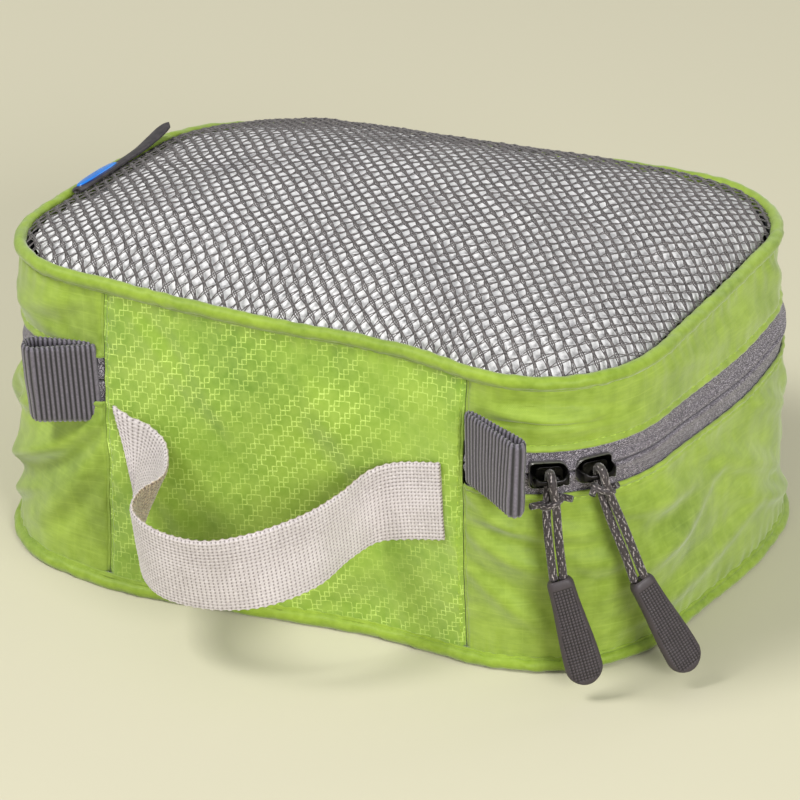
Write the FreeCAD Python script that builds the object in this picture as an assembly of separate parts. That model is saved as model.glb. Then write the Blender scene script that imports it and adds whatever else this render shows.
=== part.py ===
import FreeCAD, Part
import math
import os

# Packing cube: soft-walled zipped organiser with a domed net lid, webbing handle and two corded zipper pulls.
# Millimetres, +Z up, +X along the long side, front (handle) face towards -Y.
# Origin: centre of the bottom panel, on the face it rests on.

V = FreeCAD.Vector

# ---- driving dimensions ----
LENGTH = 200.0            # outside of the walls along X
DEPTH = 150.0             # outside of the walls along Y
PIPE_TOP_Z = 94.0         # centre line of the top piping
CORNER = {"fr": 46.0, "br": 34.0, "bl": 36.0, "fl": 30.0}   # plan radii of the four corners
FABRIC = 0.8              # wall cloth with its coating and turned edges
PIPE_R = 1.9              # piping, outside radius
PIPE_CORD_R = 1.25        # cord inside the piping
PIPE_OUT = 0.3            # piping centre line beyond the wall face
PANEL_HALF = 59.0         # front panel runs from -59 to +59 along X
ZIP_Z = 66.0              # centre of the zipper chain
ZIP_GAP = 0.6             # slot between the two chains, that the slider's neck runs in
TAPE_SHOWN = 13.0         # height of tape between the two turned fabric edges
TAPE_HIDDEN = 3.0         # tape sewn behind each fabric edge
TAPE_T = 0.6
HINGE_Y, HINGE_Z = -78.6, 70.5   # line that the lid folds about, just in front of the front panel
DOME = 15.0               # how far the net stands above the piping
WEB_W, WEB_T = 25.0, 1.6  # handle webbing
HANDLE_Y, HANDLE_Z = -80.5, 44.5 # line that the handle swings about
HANDLE_DROOP = 11.0       # degrees
LOOP_W, LOOP_T, LOOP_L = 24.0, 1.2, 20.0
LEFT_LOOP_Z, RIGHT_LOOP_Z = 61.8, 70.0
LEFT_LOOP_OUT, RIGHT_LOOP_OUT = 25.0, 12.0   # degrees that each loop stands off the wall
SLIDER_LEFT_AT, SLIDER_RIGHT_AT = -52.5, -36.5   # degrees round the front right corner
SLIDER_L, SLIDER_H = 11.0, 8.0
CORD_D = 2.3
GRIP_W, GRIP_T = 10.6, 4.4

A, B = LENGTH / 2, DEPTH / 2
os.makedirs("parts", exist_ok=True)
made = {}


def save(name, shape):
    shapes = shape if isinstance(shape, list) else [shape]
    out = []
    for s in shapes:
        out += list(s.Solids)
    for s in out:
        if not s.isValid() or s.Volume < 0.5:
            raise RuntimeError("bad solid in " + name)
    result = out[0] if len(out) == 1 else Part.makeCompound(out)
    result.exportStep("parts/" + name + ".step")
    made[name] = result
    b = result.optimalBoundingBox(False)
    print("%-28s solids %d  vol %9.1f  x %.1f..%.1f y %.1f..%.1f z %.1f..%.1f"
          % (name, len(out), result.Volume, b.XMin, b.XMax, b.YMin, b.YMax, b.ZMin, b.ZMax))


# ---- plan outline: straight sides joined by four arcs ----
def centres():
    return {"br": (A - CORNER["br"], B - CORNER["br"]),
            "bl": (-A + CORNER["bl"], B - CORNER["bl"]),
            "fl": (-A + CORNER["fl"], -B + CORNER["fl"]),
            "fr": (A - CORNER["fr"], -B + CORNER["fr"])}


def outline(offset, z):
    edges, ends = [], []
    for key, start in (("br", 0), ("bl", 90), ("fl", 180), ("fr", 270)):
        cx, cy = centres()[key]
        r = CORNER[key] + offset
        pts = [V(cx + r * math.cos(math.radians(t)), cy + r * math.sin(math.radians(t)), z)
               for t in (start, start + 45, start + 90)]
        ends.append(pts)
    for i, pts in enumerate(ends):
        edges.append(Part.Arc(*pts).toShape())
        nxt = ends[(i + 1) % 4][0]
        edges.append(Part.LineSegment(pts[2], nxt).toShape())
    return Part.Wire(edges)


def plate(offset, z0, z1):
    return Part.Face(outline(offset, z0)).extrude(V(0, 0, z1 - z0))


def band(out, inn, z0, z1):
    return plate(out, z0, z1).cut(plate(inn, z0 - 1, z1 + 1))


def block(x0, x1, y0, y1, z0, z1):
    return Part.makeBox(x1 - x0, y1 - y0, z1 - z0, V(x0, y0, z0))


def tube_ring(radius, offset, z):
    path = outline(offset, z)
    start = V(A - CORNER["br"] + CORNER["br"] + offset, B - CORNER["br"], z)
    section = Part.Wire(Part.makeCircle(radius, start, V(0, 1, 0)))
    return path.makePipeShell([section], True, True)


# ---- walls ----
pipe_bottom_z = PIPE_R
front_box = block(-PANEL_HALF, PANEL_HALF, -B - 5, -B + 12, -5, 120)
front_box_wide = block(-PANEL_HALF - 0.1, PANEL_HALF + 0.1, -B - 5, -B + 12, -5, 120)
low_edge = ZIP_Z - TAPE_SHOWN / 2
high_edge = ZIP_Z + TAPE_SHOWN / 2
wall_low = 2 * PIPE_R + 0.1
wall_high = PIPE_TOP_Z - PIPE_R - 0.1

save("base_side_band", band(0, -FABRIC, wall_low, low_edge).cut(front_box_wide))
save("lid_side_band", band(0, -FABRIC, high_edge, wall_high).cut(front_box_wide))
save("front_panel_lower", band(0, -FABRIC, wall_low, HINGE_Z - 0.3).common(front_box))
save("front_panel_upper", band(0, -FABRIC, HINGE_Z + 0.3, wall_high).common(front_box))
save("bottom_panel", plate(-PIPE_R, 0, FABRIC))

# ---- piping: a cord in a folded strip of the wall cloth ----
for side, z in (("bottom", pipe_bottom_z), ("top", PIPE_TOP_Z)):
    cover = tube_ring(PIPE_R, PIPE_OUT, z).cut(tube_ring(PIPE_CORD_R + 0.05, PIPE_OUT, z))
    save(side + "_piping_cover", cover)
    save(side + "_piping_cord", tube_ring(PIPE_CORD_R, PIPE_OUT, z))

# ---- seam bindings inside ----
save("bottom_seam_binding", band(-1.75, -2.35, FABRIC + 0.1, 10))
save("top_seam_binding", band(-0.9, -1.5, PIPE_TOP_Z - 10, wall_high - 0.4))
tape_low, tape_high = low_edge - TAPE_HIDDEN, high_edge + TAPE_HIDDEN
for name, z0, z1 in (("front_seam_bindings_lower", 10.4, tape_low - 0.4),
                     ("front_seam_bindings_upper", tape_high + 0.4, PIPE_TOP_Z - 10.4)):
    strips = []
    for s in (-1, 1):
        x0, x1 = sorted((s * (PANEL_HALF - 4), s * (PANEL_HALF + 4)))
        strips.append(band(-0.9, -1.5, z0, z1).common(block(x0, x1, -B - 5, -B + 12, 0, 120)))
    save(name, strips)

# ---- zipper: tapes and coils, round the left, back and right sides ----
ends_box = block(-PANEL_HALF + 3, PANEL_HALF - 3, -B - 5, -B + 12, 0, 120)
g = ZIP_GAP / 2
save("zipper_tape_lower", band(-0.9, -0.9 - TAPE_T, tape_low, ZIP_Z - g).cut(ends_box))
save("zipper_tape_upper", band(-0.9, -0.9 - TAPE_T, ZIP_Z + g, tape_high).cut(ends_box))
save("zipper_coil_lower", band(-1.6, -3.4, ZIP_Z - g - 2.3, ZIP_Z - g).cut(front_box))
save("zipper_coil_upper", band(-1.6, -3.4, ZIP_Z + g, ZIP_Z + g + 2.3).cut(front_box))
stops = []
for s in (-1, 1):
    x0, x1 = sorted((s * (PANEL_HALF - 2.6), s * (PANEL_HALF - 0.2)))
    stops.append(band(-1.6, -3.4, ZIP_Z - g - 3, ZIP_Z - g).common(block(x0, x1, -B - 5, -B + 12, 0, 120)))
save("zipper_end_stops", stops)

# ---- net dome and the paper sheet tucked under it ----
def dome_height(x, y, rise):
    fx, fy = min(1.0, abs(x) / (A - 1)), min(1.0, abs(y) / (B - 1))
    return rise * (1 - fx ** 2.6) * (1 - fy ** 2.4)


def dome(edge_offset, z, rise, thickness, cut_offset):
    nx, ny = 17, 13
    rows = []
    for i in range(nx):
        x = -A - 2 + (2 * A + 4) * i / (nx - 1)
        rows.append([V(x, y, z + dome_height(x, y, rise))
                     for y in [-B - 2 + (2 * B + 4) * j / (ny - 1) for j in range(ny)]])
    s = Part.BSplineSurface()
    s.interpolate(rows)
    skin = s.toShape().extrude(V(0, 0, thickness))
    skin = Part.Solid(skin) if skin.ShapeType != "Solid" else skin
    return skin.common(plate(cut_offset, z - 20, z + 60))


save("net_panel", dome(0, PIPE_TOP_Z - 0.3, DOME, 0.7, -1.75))
save("packing_paper", dome(0, PIPE_TOP_Z - 2.4, DOME - 0.6, 0.9, -6.0))

# ---- webbing handle ----
def ribbon(points, thickness, z0, height):
    curve = Part.BSplineCurve()
    curve.interpolate([V(x, y, 0) for x, y in points])
    n = 36
    sides = []
    for s in (-1, 1):
        pts = []
        for i in range(n + 1):
            u = curve.FirstParameter + (curve.LastParameter - curve.FirstParameter) * i / n
            p, t = curve.value(u), curve.tangent(u)[0]
            pts.append(V(p.x - s * t.y * thickness / 2, p.y + s * t.x * thickness / 2, z0))
        c = Part.BSplineCurve()
        c.interpolate(pts)
        sides.append((c, pts))
    (c1, p1), (c2, p2) = sides
    wire = Part.Wire([c1.toShape(), Part.LineSegment(p1[-1], p2[-1]).toShape(),
                      c2.toShape(), Part.LineSegment(p2[0], p1[0]).toShape()])
    face = Part.Face(Part.Wire(Part.__sortEdges__(wire.Edges)))
    return face.extrude(V(0, 0, height)), curve.length()


web_y = -B - 0.45 - WEB_T / 2
strap_points = [(-36.6, -81.5), (-32.4, -86.5), (-30.2, -94.0), (-28.6, -103.0), (-23.5, -110.5), (-13.0, -115.2),
                (1.0, -112.6), (13.0, -104.0), (21.5, -92.5), (27.5, -84.4), (30.9, -80.6)]
strap, strap_length = ribbon(strap_points, WEB_T, HANDLE_Z - WEB_W / 2, WEB_W)
strap = strap.common(block(-36.5, 30.8, -140, -70, 0, 120))
strap.rotate(V(0, HANDLE_Y, HANDLE_Z), V(1, 0, 0), HANDLE_DROOP)
save("handle_strap", strap)
left_end, left_len = ribbon([(-56, web_y), (-47.5, web_y), (-42.0, web_y - 0.25), (-38.6, web_y - 2.3), (-36.4, -80.8)],
                            WEB_T, HANDLE_Z - WEB_W / 2, WEB_W)
save("handle_end_left", left_end.common(block(-70, -36.7, -140, -70, 0, 120)))
right_end, right_len = ribbon([(30.7, -80.4), (33.4, web_y - 1.9), (37.0, web_y - 0.2), (42.5, web_y), (53.5, web_y)],
                              WEB_T, HANDLE_Z - WEB_W / 2, WEB_W)
right_end = right_end.common(block(31.0, 58, -140, -70, 0, 120))
save("handle_end_right", right_end)
print("handle webbing length", round(strap_length + left_len + right_len, 1))

# ---- grosgrain loops, each a strip folded back on itself and sewn into a panel seam ----
def teardrop(r_root, r_fold, length):
    # two circles joined by their outer tangents; root at the origin, fold along +X
    k = math.asin((r_fold - r_root) / length)
    rt = [V(r_root * -math.sin(k), s * r_root * math.cos(k), 0) for s in (1, -1)]
    ft = [V(length - r_fold * math.sin(k), s * r_fold * math.cos(k), 0) for s in (1, -1)]
    return Part.Face(Part.Wire([
        Part.LineSegment(rt[0], ft[0]).toShape(),
        Part.Arc(ft[0], V(length + r_fold, 0, 0), ft[1]).toShape(),
        Part.LineSegment(ft[1], rt[1]).toShape(),
        Part.Arc(rt[1], V(-r_root, 0, 0), rt[0]).toShape()]))


def loop(side, out_degrees, z):
    r_fold = 4.7
    far = LOOP_L - r_fold - 1.5
    outer = teardrop(LOOP_T + 0.25, r_fold, far)
    inner = teardrop(0.25, r_fold - LOOP_T, far)
    s = outer.extrude(V(0, 0, LOOP_W)).cut(inner.extrude(V(0, 0, LOOP_W)))
    s.translate(V(0, 0, z - LOOP_W / 2))
    s.rotate(V(0, 0, 0), V(0, 0, 1), -out_degrees if side > 0 else 180 + out_degrees)
    s.translate(V(side * (PANEL_HALF + 1.5), -B - LOOP_T - 0.25 - 0.15, 0))
    if side > 0:
        s.translate(V(0, -0.2, 0))
    return s


save("grosgrain_loop_left", loop(-1, LEFT_LOOP_OUT, LEFT_LOOP_Z))
save("grosgrain_loop_right", loop(1, RIGHT_LOOP_OUT + 3, RIGHT_LOOP_Z))

# ---- sliders: they run round the front right corner, both plates and the neck concentric with it ----
CX, CY = centres()["fr"]
CR = CORNER["fr"]


def sector(r0, r1, mid, half, z0, z1):
    pts = []
    for r, order in ((r0, (mid - half, mid, mid + half)), (r1, (mid + half, mid, mid - half))):
        pts.append([V(CX + r * math.cos(math.radians(t)), CY + r * math.sin(math.radians(t)), z0) for t in order])
    wire = Part.Wire([Part.Arc(*pts[0]).toShape(), Part.LineSegment(pts[0][2], pts[1][0]).toShape(),
                      Part.Arc(*pts[1]).toShape(), Part.LineSegment(pts[1][2], pts[0][0]).toShape()])
    return Part.Face(wire).extrude(V(0, 0, z1 - z0))


def local(at, t, n, dz):
    a = math.radians(at)
    return V(CX + (CR + n) * math.cos(a) - t * math.sin(a), CY + (CR + n) * math.sin(a) + t * math.cos(a), ZIP_Z + dz)


BAR_N, BAR_R = 4.8, 0.7
half = math.degrees(SLIDER_L / 2 / CR)


def slider(at):
    h = SLIDER_H / 2
    body = sector(CR - 0.6, CR + 1.0, at, half, ZIP_Z - h, ZIP_Z + h)
    body = body.fuse(sector(CR - 5.0, CR - 3.9, at, half, ZIP_Z - h, ZIP_Z + h))
    body = body.fuse(sector(CR - 4.2, CR - 0.3, at, half * 0.55, ZIP_Z - 0.2, ZIP_Z + 0.2))
    for s in (-1, 1):
        body = body.fuse(sector(CR + 0.8, CR + BAR_N + 0.9, at + s * half * 0.78, half * 0.16, ZIP_Z - 1.5, ZIP_Z + 1.5))
    p, q = local(at, -half * 0.8 * CR * math.pi / 180, BAR_N, 0), local(at, half * 0.8 * CR * math.pi / 180, BAR_N, 0)
    bar = Part.makeCylinder(BAR_R, (q - p).Length, p, q - p)
    return body.fuse(bar).removeSplitter()


save("slider_left", slider(SLIDER_LEFT_AT))
save("slider_right", slider(SLIDER_RIGHT_AT))

# ---- pulls: a braided cord looped round the slider's bar, its two strands ending in a moulded grip ----
def tube(points, diameter):
    """Straight runs joined by tangent arcs; each radius is 0.45 of the shorter run over tan(half the turn)."""
    edges, here, radii = [], points[0], []
    for i in range(1, len(points) - 1):
        a, b, c = points[i - 1], points[i], points[i + 1]
        u, w = (b - a), (c - b)
        short = min(u.Length, w.Length)
        u.normalize()
        w.normalize()
        turn = math.acos(max(-1, min(1, u.dot(w))))
        cut = 0.45 * short
        radius = cut / math.tan(turn / 2)
        p, q = b - u * cut, b + w * cut
        bis = w - u
        bis.normalize()
        centre = b + bis * (radius / math.cos(turn / 2))
        m = b - centre
        m.normalize()
        mid = centre + m * radius
        edges += [Part.LineSegment(here, p).toShape(), Part.Arc(p, mid, q).toShape()]
        here = q
        radii.append(round(radius / diameter, 2))
    edges.append(Part.LineSegment(here, points[-1]).toShape())
    path = Part.Wire(edges)
    d = points[1] - points[0]
    section = Part.Wire(Part.makeCircle(diameter / 2, points[0], d))
    solid = path.makePipeShell([section], True, True)
    want = path.Length * math.pi * diameter ** 2 / 4
    print("   cord length %.1f, radii in diameters %s, volume ratio %.3f" % (path.Length, radii, solid.Volume / want))
    return solid


# cord routes as (along the wall, out from the wall, above the chain)
CORDS = {
    "left": (SLIDER_LEFT_AT, [(0.45, 8.9, -28.5), (-0.3, 8.0, -22.0), (-0.95, 7.1, -16.0), (-1.4, 6.2, -10.5), (-1.1, 4.4, -5.0), (-0.3, 2.6, -0.8),
                              (-0.3, 2.9, 1.8), (-0.3, 5.0, 2.8), (-0.2, 7.0, 1.8), (0.1, 7.3, -0.9),
                              (0.95, 7.2, -5.2), (1.4, 7.2, -10.5), (1.85, 7.4, -16.0), (2.5, 8.1, -22.0), (3.2, 8.9, -28.1)],
             (1.9, 9.1, -28.2), (10.4, 12.6, -60.5)),
    "right": (SLIDER_RIGHT_AT, [(8.32, 10.69, -32.3), (6.6, 9.7, -26.0), (4.4, 8.5, -19.5), (2.0, 6.9, -12.5), (0.4, 4.6, -5.5), (0.0, 2.6, -0.8),
                                (-0.2, 2.9, 1.8), (-0.3, 5.0, 2.8), (-0.2, 7.0, 1.8), (0.2, 7.3, -0.9),
                                (2.0, 7.6, -6.0), (4.6, 8.4, -12.5), (7.0, 9.7, -19.5), (9.2, 10.9, -26.0), (10.95, 11.8, -31.1)],
              (9.7, 11.3, -31.6), (23.5, 18.2, -60.4)),
}


def grip(at, top, end):
    """Flat paddle, narrow at the cord and rounded at the free end."""
    p, q = local(at, *top), local(at, *end)
    axis = q - p
    length = axis.Length
    axis.normalize()
    a = math.radians(at)
    out = V(math.cos(a), math.sin(a), 0)
    out = out - axis * out.dot(axis)
    out.normalize()
    side = axis.cross(out)
    w0, w1 = 7.6, GRIP_W
    r = w1 / 2
    flat = Part.Face(Part.Wire([
        Part.LineSegment(V(-w0 / 2, 0, 0), V(w0 / 2, 0, 0)).toShape(),
        Part.LineSegment(V(w0 / 2, 0, 0), V(r, length - r, 0)).toShape(),
        Part.Arc(V(r, length - r, 0), V(0, length, 0), V(-r, length - r, 0)).toShape(),
        Part.LineSegment(V(-r, length - r, 0), V(-w0 / 2, 0, 0)).toShape()]))
    s = flat.extrude(V(0, 0, GRIP_T))
    s.translate(V(0, 0, -GRIP_T / 2))
    s = s.makeFillet(1.2, [e for e in s.Edges if abs(e.CenterOfMass.z) > GRIP_T / 2 - 0.01 and e.CenterOfMass.y > 0.5])
    m = FreeCAD.Matrix(side.x, axis.x, out.x, p.x, side.y, axis.y, out.y, p.y, side.z, axis.z, out.z, p.z, 0, 0, 0, 1)
    if m.determinant() < 0:
        side = side * -1
        m = FreeCAD.Matrix(side.x, axis.x, out.x, p.x, side.y, axis.y, out.y, p.y, side.z, axis.z, out.z, p.z, 0, 0, 0, 1)
    s.transformShape(m)
    return s


for side, (at, route, top, end) in CORDS.items():
    g_solid = grip(at, top, end)
    points = [local(at, *p) for p in route]
    print("   route", side, [(round(p.x, 2), round(p.y, 2), round(p.z, 2)) for p in points])
    c_solid = tube(points, CORD_D).cut(g_solid)
    pieces = sorted(c_solid.Solids, key=lambda s: -s.Volume)
    save("pull_cord_" + side, pieces[0])
    save("pull_grip_" + side, g_solid)
    print("   bar", [round(x, 2) for x in local(at, 0, BAR_N, 0)])

# ---- moulded tab sewn in at the left top edge, lying along it with its free end lifted ----
TAB_X, TAB_Y0, TAB_Z = -98.0, -33.0, 95.35   # low outer corner of its sewn end
TAB_L, TAB_W, TAB_T = 50.0, 6.2, 1.5
TAB_LEAN = 20.0      # degrees, following the slope of the net
TAB_BEND_AT, TAB_LIFT = 31.0, 4.0   # where the free end starts to rise, and how far it rises


def tab(low, high, w0, w1):
    """A strip between two lines of (along, up), from w0 to w1 across its width."""
    a = math.radians(TAB_LEAN)
    pts = low + high[::-1]
    p = [V(TAB_X + w0 * math.cos(a), TAB_Y0 + y, TAB_Z + z + w0 * math.sin(a)) for y, z in pts]
    face = Part.Face(Part.makePolygon(p + [p[0]]))
    return face.extrude(V((w1 - w0) * math.cos(a), 0, (w1 - w0) * math.sin(a)))


TAB_LINE = [(0.0, 0.0), (TAB_BEND_AT, 0.5), (TAB_L, 0.5 + TAB_LIFT)]
save("edge_tab", tab(TAB_LINE, [(y, z + TAB_T) for y, z in TAB_LINE], 0, TAB_W))
PATCH_LINE = [(2.5, TAB_T + 0.08), (21.0, TAB_T + 0.38)]
save("edge_tab_patch", tab(PATCH_LINE, [(y, z + 0.6) for y, z in PATCH_LINE], 0.8, TAB_W - 0.8))
print(len(made), "nodes")
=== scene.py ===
import math
import bpy
import numpy as np
from mathutils import Matrix, Vector


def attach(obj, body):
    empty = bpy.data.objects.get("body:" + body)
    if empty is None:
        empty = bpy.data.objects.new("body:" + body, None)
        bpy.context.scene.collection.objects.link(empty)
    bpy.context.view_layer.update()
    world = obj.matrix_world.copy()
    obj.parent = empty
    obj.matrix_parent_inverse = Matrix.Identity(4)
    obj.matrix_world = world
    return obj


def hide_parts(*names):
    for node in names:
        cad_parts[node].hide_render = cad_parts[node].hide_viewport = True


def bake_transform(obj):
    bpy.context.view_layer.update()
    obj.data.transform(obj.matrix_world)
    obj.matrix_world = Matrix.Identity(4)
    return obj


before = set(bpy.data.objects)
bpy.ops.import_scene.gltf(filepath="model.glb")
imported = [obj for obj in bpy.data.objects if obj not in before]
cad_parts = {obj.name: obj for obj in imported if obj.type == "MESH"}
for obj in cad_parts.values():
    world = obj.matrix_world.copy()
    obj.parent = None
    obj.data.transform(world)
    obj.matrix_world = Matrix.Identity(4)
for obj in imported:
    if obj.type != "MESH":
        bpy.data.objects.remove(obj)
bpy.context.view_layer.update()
scene = bpy.context.scene
MM = 0.001

# ------------------------------------------------------------------ camera
cam_data = bpy.data.cameras.new("camera")
cam_data.lens, cam_data.sensor_width = 164.8, 36.0
cam_data.clip_start, cam_data.clip_end = 0.05, 30.0
cam = bpy.data.objects.new("camera", cam_data)
scene.collection.objects.link(cam)
AZ, EL, DIST = math.radians(30), math.radians(28), 1.1
BACK = Vector((math.sin(AZ) * math.cos(EL), -math.cos(AZ) * math.cos(EL), math.sin(EL)))
cam.location = Vector((-0.001, -0.003, 0.038)) + BACK * DIST
cam.rotation_euler = (-BACK).to_track_quat("-Z", "Y").to_euler()
scene.camera = cam

# ------------------------------------------------------------------ noise and small helpers
_rng = np.random.default_rng(7)
_PERM = _rng.permutation(256)
_VAL = _rng.uniform(-1, 1, 256)


def vnoise(p):
    """Smooth value noise in [-1, 1] at points (N, 3)."""
    p = np.asarray(p, float)
    i = np.floor(p).astype(int)
    f = p - i
    f = f * f * f * (f * (f * 6 - 15) + 10)

    def corner(dx, dy, dz):
        h = _PERM[(i[:, 0] + dx) & 255]
        h = _PERM[(h + i[:, 1] + dy) & 255]
        return _VAL[_PERM[(h + i[:, 2] + dz) & 255]]

    out = 0
    for dx in (0, 1):
        wx = f[:, 0] if dx else 1 - f[:, 0]
        for dy in (0, 1):
            wy = f[:, 1] if dy else 1 - f[:, 1]
            for dz in (0, 1):
                wz = f[:, 2] if dz else 1 - f[:, 2]
                out = out + wx * wy * wz * corner(dx, dy, dz)
    return out


def fnoise(p, octaves=3):
    p = np.asarray(p, float)
    return sum(vnoise(p * 2 ** k + 17.3 * k) * 0.5 ** k for k in range(octaves)) / (2 - 0.5 ** (octaves - 1))


def smooth01(t):
    t = np.clip(t, 0, 1)
    return t * t * (3 - 2 * t)


def bump(x, w):
    return np.exp(-(np.asarray(x, float) / w) ** 2)


def build(name, co, faces, mat, smooth=True, uv=None, attrs=None, mm=True):
    """A mesh object from points (mm) and faces, with one uv pair and any float attributes per point."""
    me = bpy.data.meshes.new(name)
    co = np.asarray(co, float) * (MM if mm else 1.0)
    fl = []
    for f in (faces if isinstance(faces, list) and faces and isinstance(faces[0], np.ndarray) else [faces]):
        fl += f.tolist() if isinstance(f, np.ndarray) else f
    me.from_pydata(co.tolist(), [], fl)
    n = len(me.loops)
    vi = np.zeros(n, np.int32)
    me.loops.foreach_get("vertex_index", vi)
    if uv is not None:
        layer = me.uv_layers.new(name="UVMap")
        layer.data.foreach_set("uv", np.asarray(uv, np.float32)[vi].ravel())
    for key, val in (attrs or {}).items():
        a = me.attributes.new(key, "FLOAT", "POINT")
        a.data.foreach_set("value", np.asarray(val, np.float32))
    if smooth:
        me.polygons.foreach_set("use_smooth", np.ones(len(me.polygons), bool))
    me.update()
    o = bpy.data.objects.new(name, me)
    scene.collection.objects.link(o)
    if mat is not None:
        me.materials.append(mat)
    return o


def grid_quads(nu, nv, wrap_u=False, wrap_v=False, base=0, flip=False):
    """Quads of a grid of points laid out as index = u * nv + v."""
    u = np.arange(nu if wrap_u else nu - 1)
    v = np.arange(nv if wrap_v else nv - 1)
    uu, vv = np.meshgrid(u, v, indexing="ij")
    u1, v1 = (uu + 1) % nu, (vv + 1) % nv
    q = np.stack([uu * nv + vv, u1 * nv + vv, u1 * nv + v1, uu * nv + v1], -1).reshape(-1, 4) + base
    return q[:, ::-1] if flip else q


def frames_along(P):
    """Parallel-transported (tangent, a, b) along a polyline (N, 3)."""
    P = np.asarray(P, float)
    T = np.gradient(P, axis=0)
    T /= np.linalg.norm(T, axis=1)[:, None] + 1e-12
    a = np.cross(T[0], [0, 0, 1.0])
    if np.linalg.norm(a) < 0.1:
        a = np.cross(T[0], [1.0, 0, 0])
    a /= np.linalg.norm(a)
    Aa = [a]
    for i in range(1, len(P)):
        a = Aa[-1] - T[i] * (Aa[-1] @ T[i])
        Aa.append(a / (np.linalg.norm(a) + 1e-12))
    Aa = np.array(Aa)
    return T, Aa, np.cross(T, Aa)


def tube_mesh(P, r, sides=8, cap=True, radial=None):
    """Points and faces of a closed tube along P (N, 3); r is a number or one per point; radial(theta, i) scales it."""
    P = np.asarray(P, float)
    n = len(P)
    T, a, b = frames_along(P)
    th = np.linspace(0, 2 * np.pi, sides, endpoint=False)
    rr = np.broadcast_to(np.asarray(r, float).reshape(-1, 1), (n, sides)).copy()
    if radial is not None:
        rr *= radial
    co = P[:, None] + rr[..., None] * (np.cos(th)[None, :, None] * a[:, None] + np.sin(th)[None, :, None] * b[:, None])
    co = co.reshape(-1, 3)
    faces = grid_quads(n, sides, wrap_v=True).tolist()
    if cap:
        faces.append(list(range(sides))[::-1])
        faces.append(list(range((n - 1) * sides, n * sides)))
    return co, faces


def join_parts(parts):
    """[(points, faces)] into one list of points and faces."""
    co, faces, base = [], [], 0
    for c, f in parts:
        co.append(np.asarray(c, float))
        faces += [[i + base for i in q] for q in (f.tolist() if isinstance(f, np.ndarray) else f)]
        base += len(c)
    return np.concatenate(co), faces


# ------------------------------------------------------------------ plan outline of the cube, as a length s along it from the middle of the front
A, B = 100.0, 75.0
RAD = {"fr": 46.0, "br": 34.0, "bl": 36.0, "fl": 30.0}
_seg = []
_seg.append(("line", A - RAD["fr"], (0, -B), (1, 0)))
_seg.append(("arc", RAD["fr"] * math.pi / 2, (A - RAD["fr"], -B + RAD["fr"]), (RAD["fr"], -90)))
_seg.append(("line", 2 * B - RAD["fr"] - RAD["br"], (A, -B + RAD["fr"]), (0, 1)))
_seg.append(("arc", RAD["br"] * math.pi / 2, (A - RAD["br"], B - RAD["br"]), (RAD["br"], 0)))
_seg.append(("line", 2 * A - RAD["br"] - RAD["bl"], (A - RAD["br"], B), (-1, 0)))
_seg.append(("arc", RAD["bl"] * math.pi / 2, (-A + RAD["bl"], B - RAD["bl"]), (RAD["bl"], 90)))
_seg.append(("line", 2 * B - RAD["bl"] - RAD["fl"], (-A, B - RAD["bl"]), (0, -1)))
_seg.append(("arc", RAD["fl"] * math.pi / 2, (-A + RAD["fl"], -B + RAD["fl"]), (RAD["fl"], 180)))
_seg.append(("line", A - RAD["fl"], (-A + RAD["fl"], -B), (1, 0)))
PER = sum(x[1] for x in _seg)
SEAM_R, SEAM_L = 59.05, PER - 59.0     # the two seams of the front panel


def plan(s):
    """(point, outward normal) in the plan, for lengths s."""
    s = np.mod(np.asarray(s, float), PER)
    p, n = np.zeros(s.shape + (2,)), np.zeros(s.shape + (2,))
    at = 0.0
    for kind, length, c, d in _seg:
        m = (s >= at - 1e-9) & (s <= at + length + 1e-9)
        u = s[m] - at
        if kind == "line":
            p[m] = np.array(c) + u[:, None] * np.array(d)
            n[m] = np.array([d[1], -d[0]])
        else:
            t = math.radians(d[1]) + u / d[0]
            n[m] = np.stack([np.cos(t), np.sin(t)], -1)
            p[m] = np.array(c) + d[0] * n[m]
        at += length
    return p, n


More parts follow.
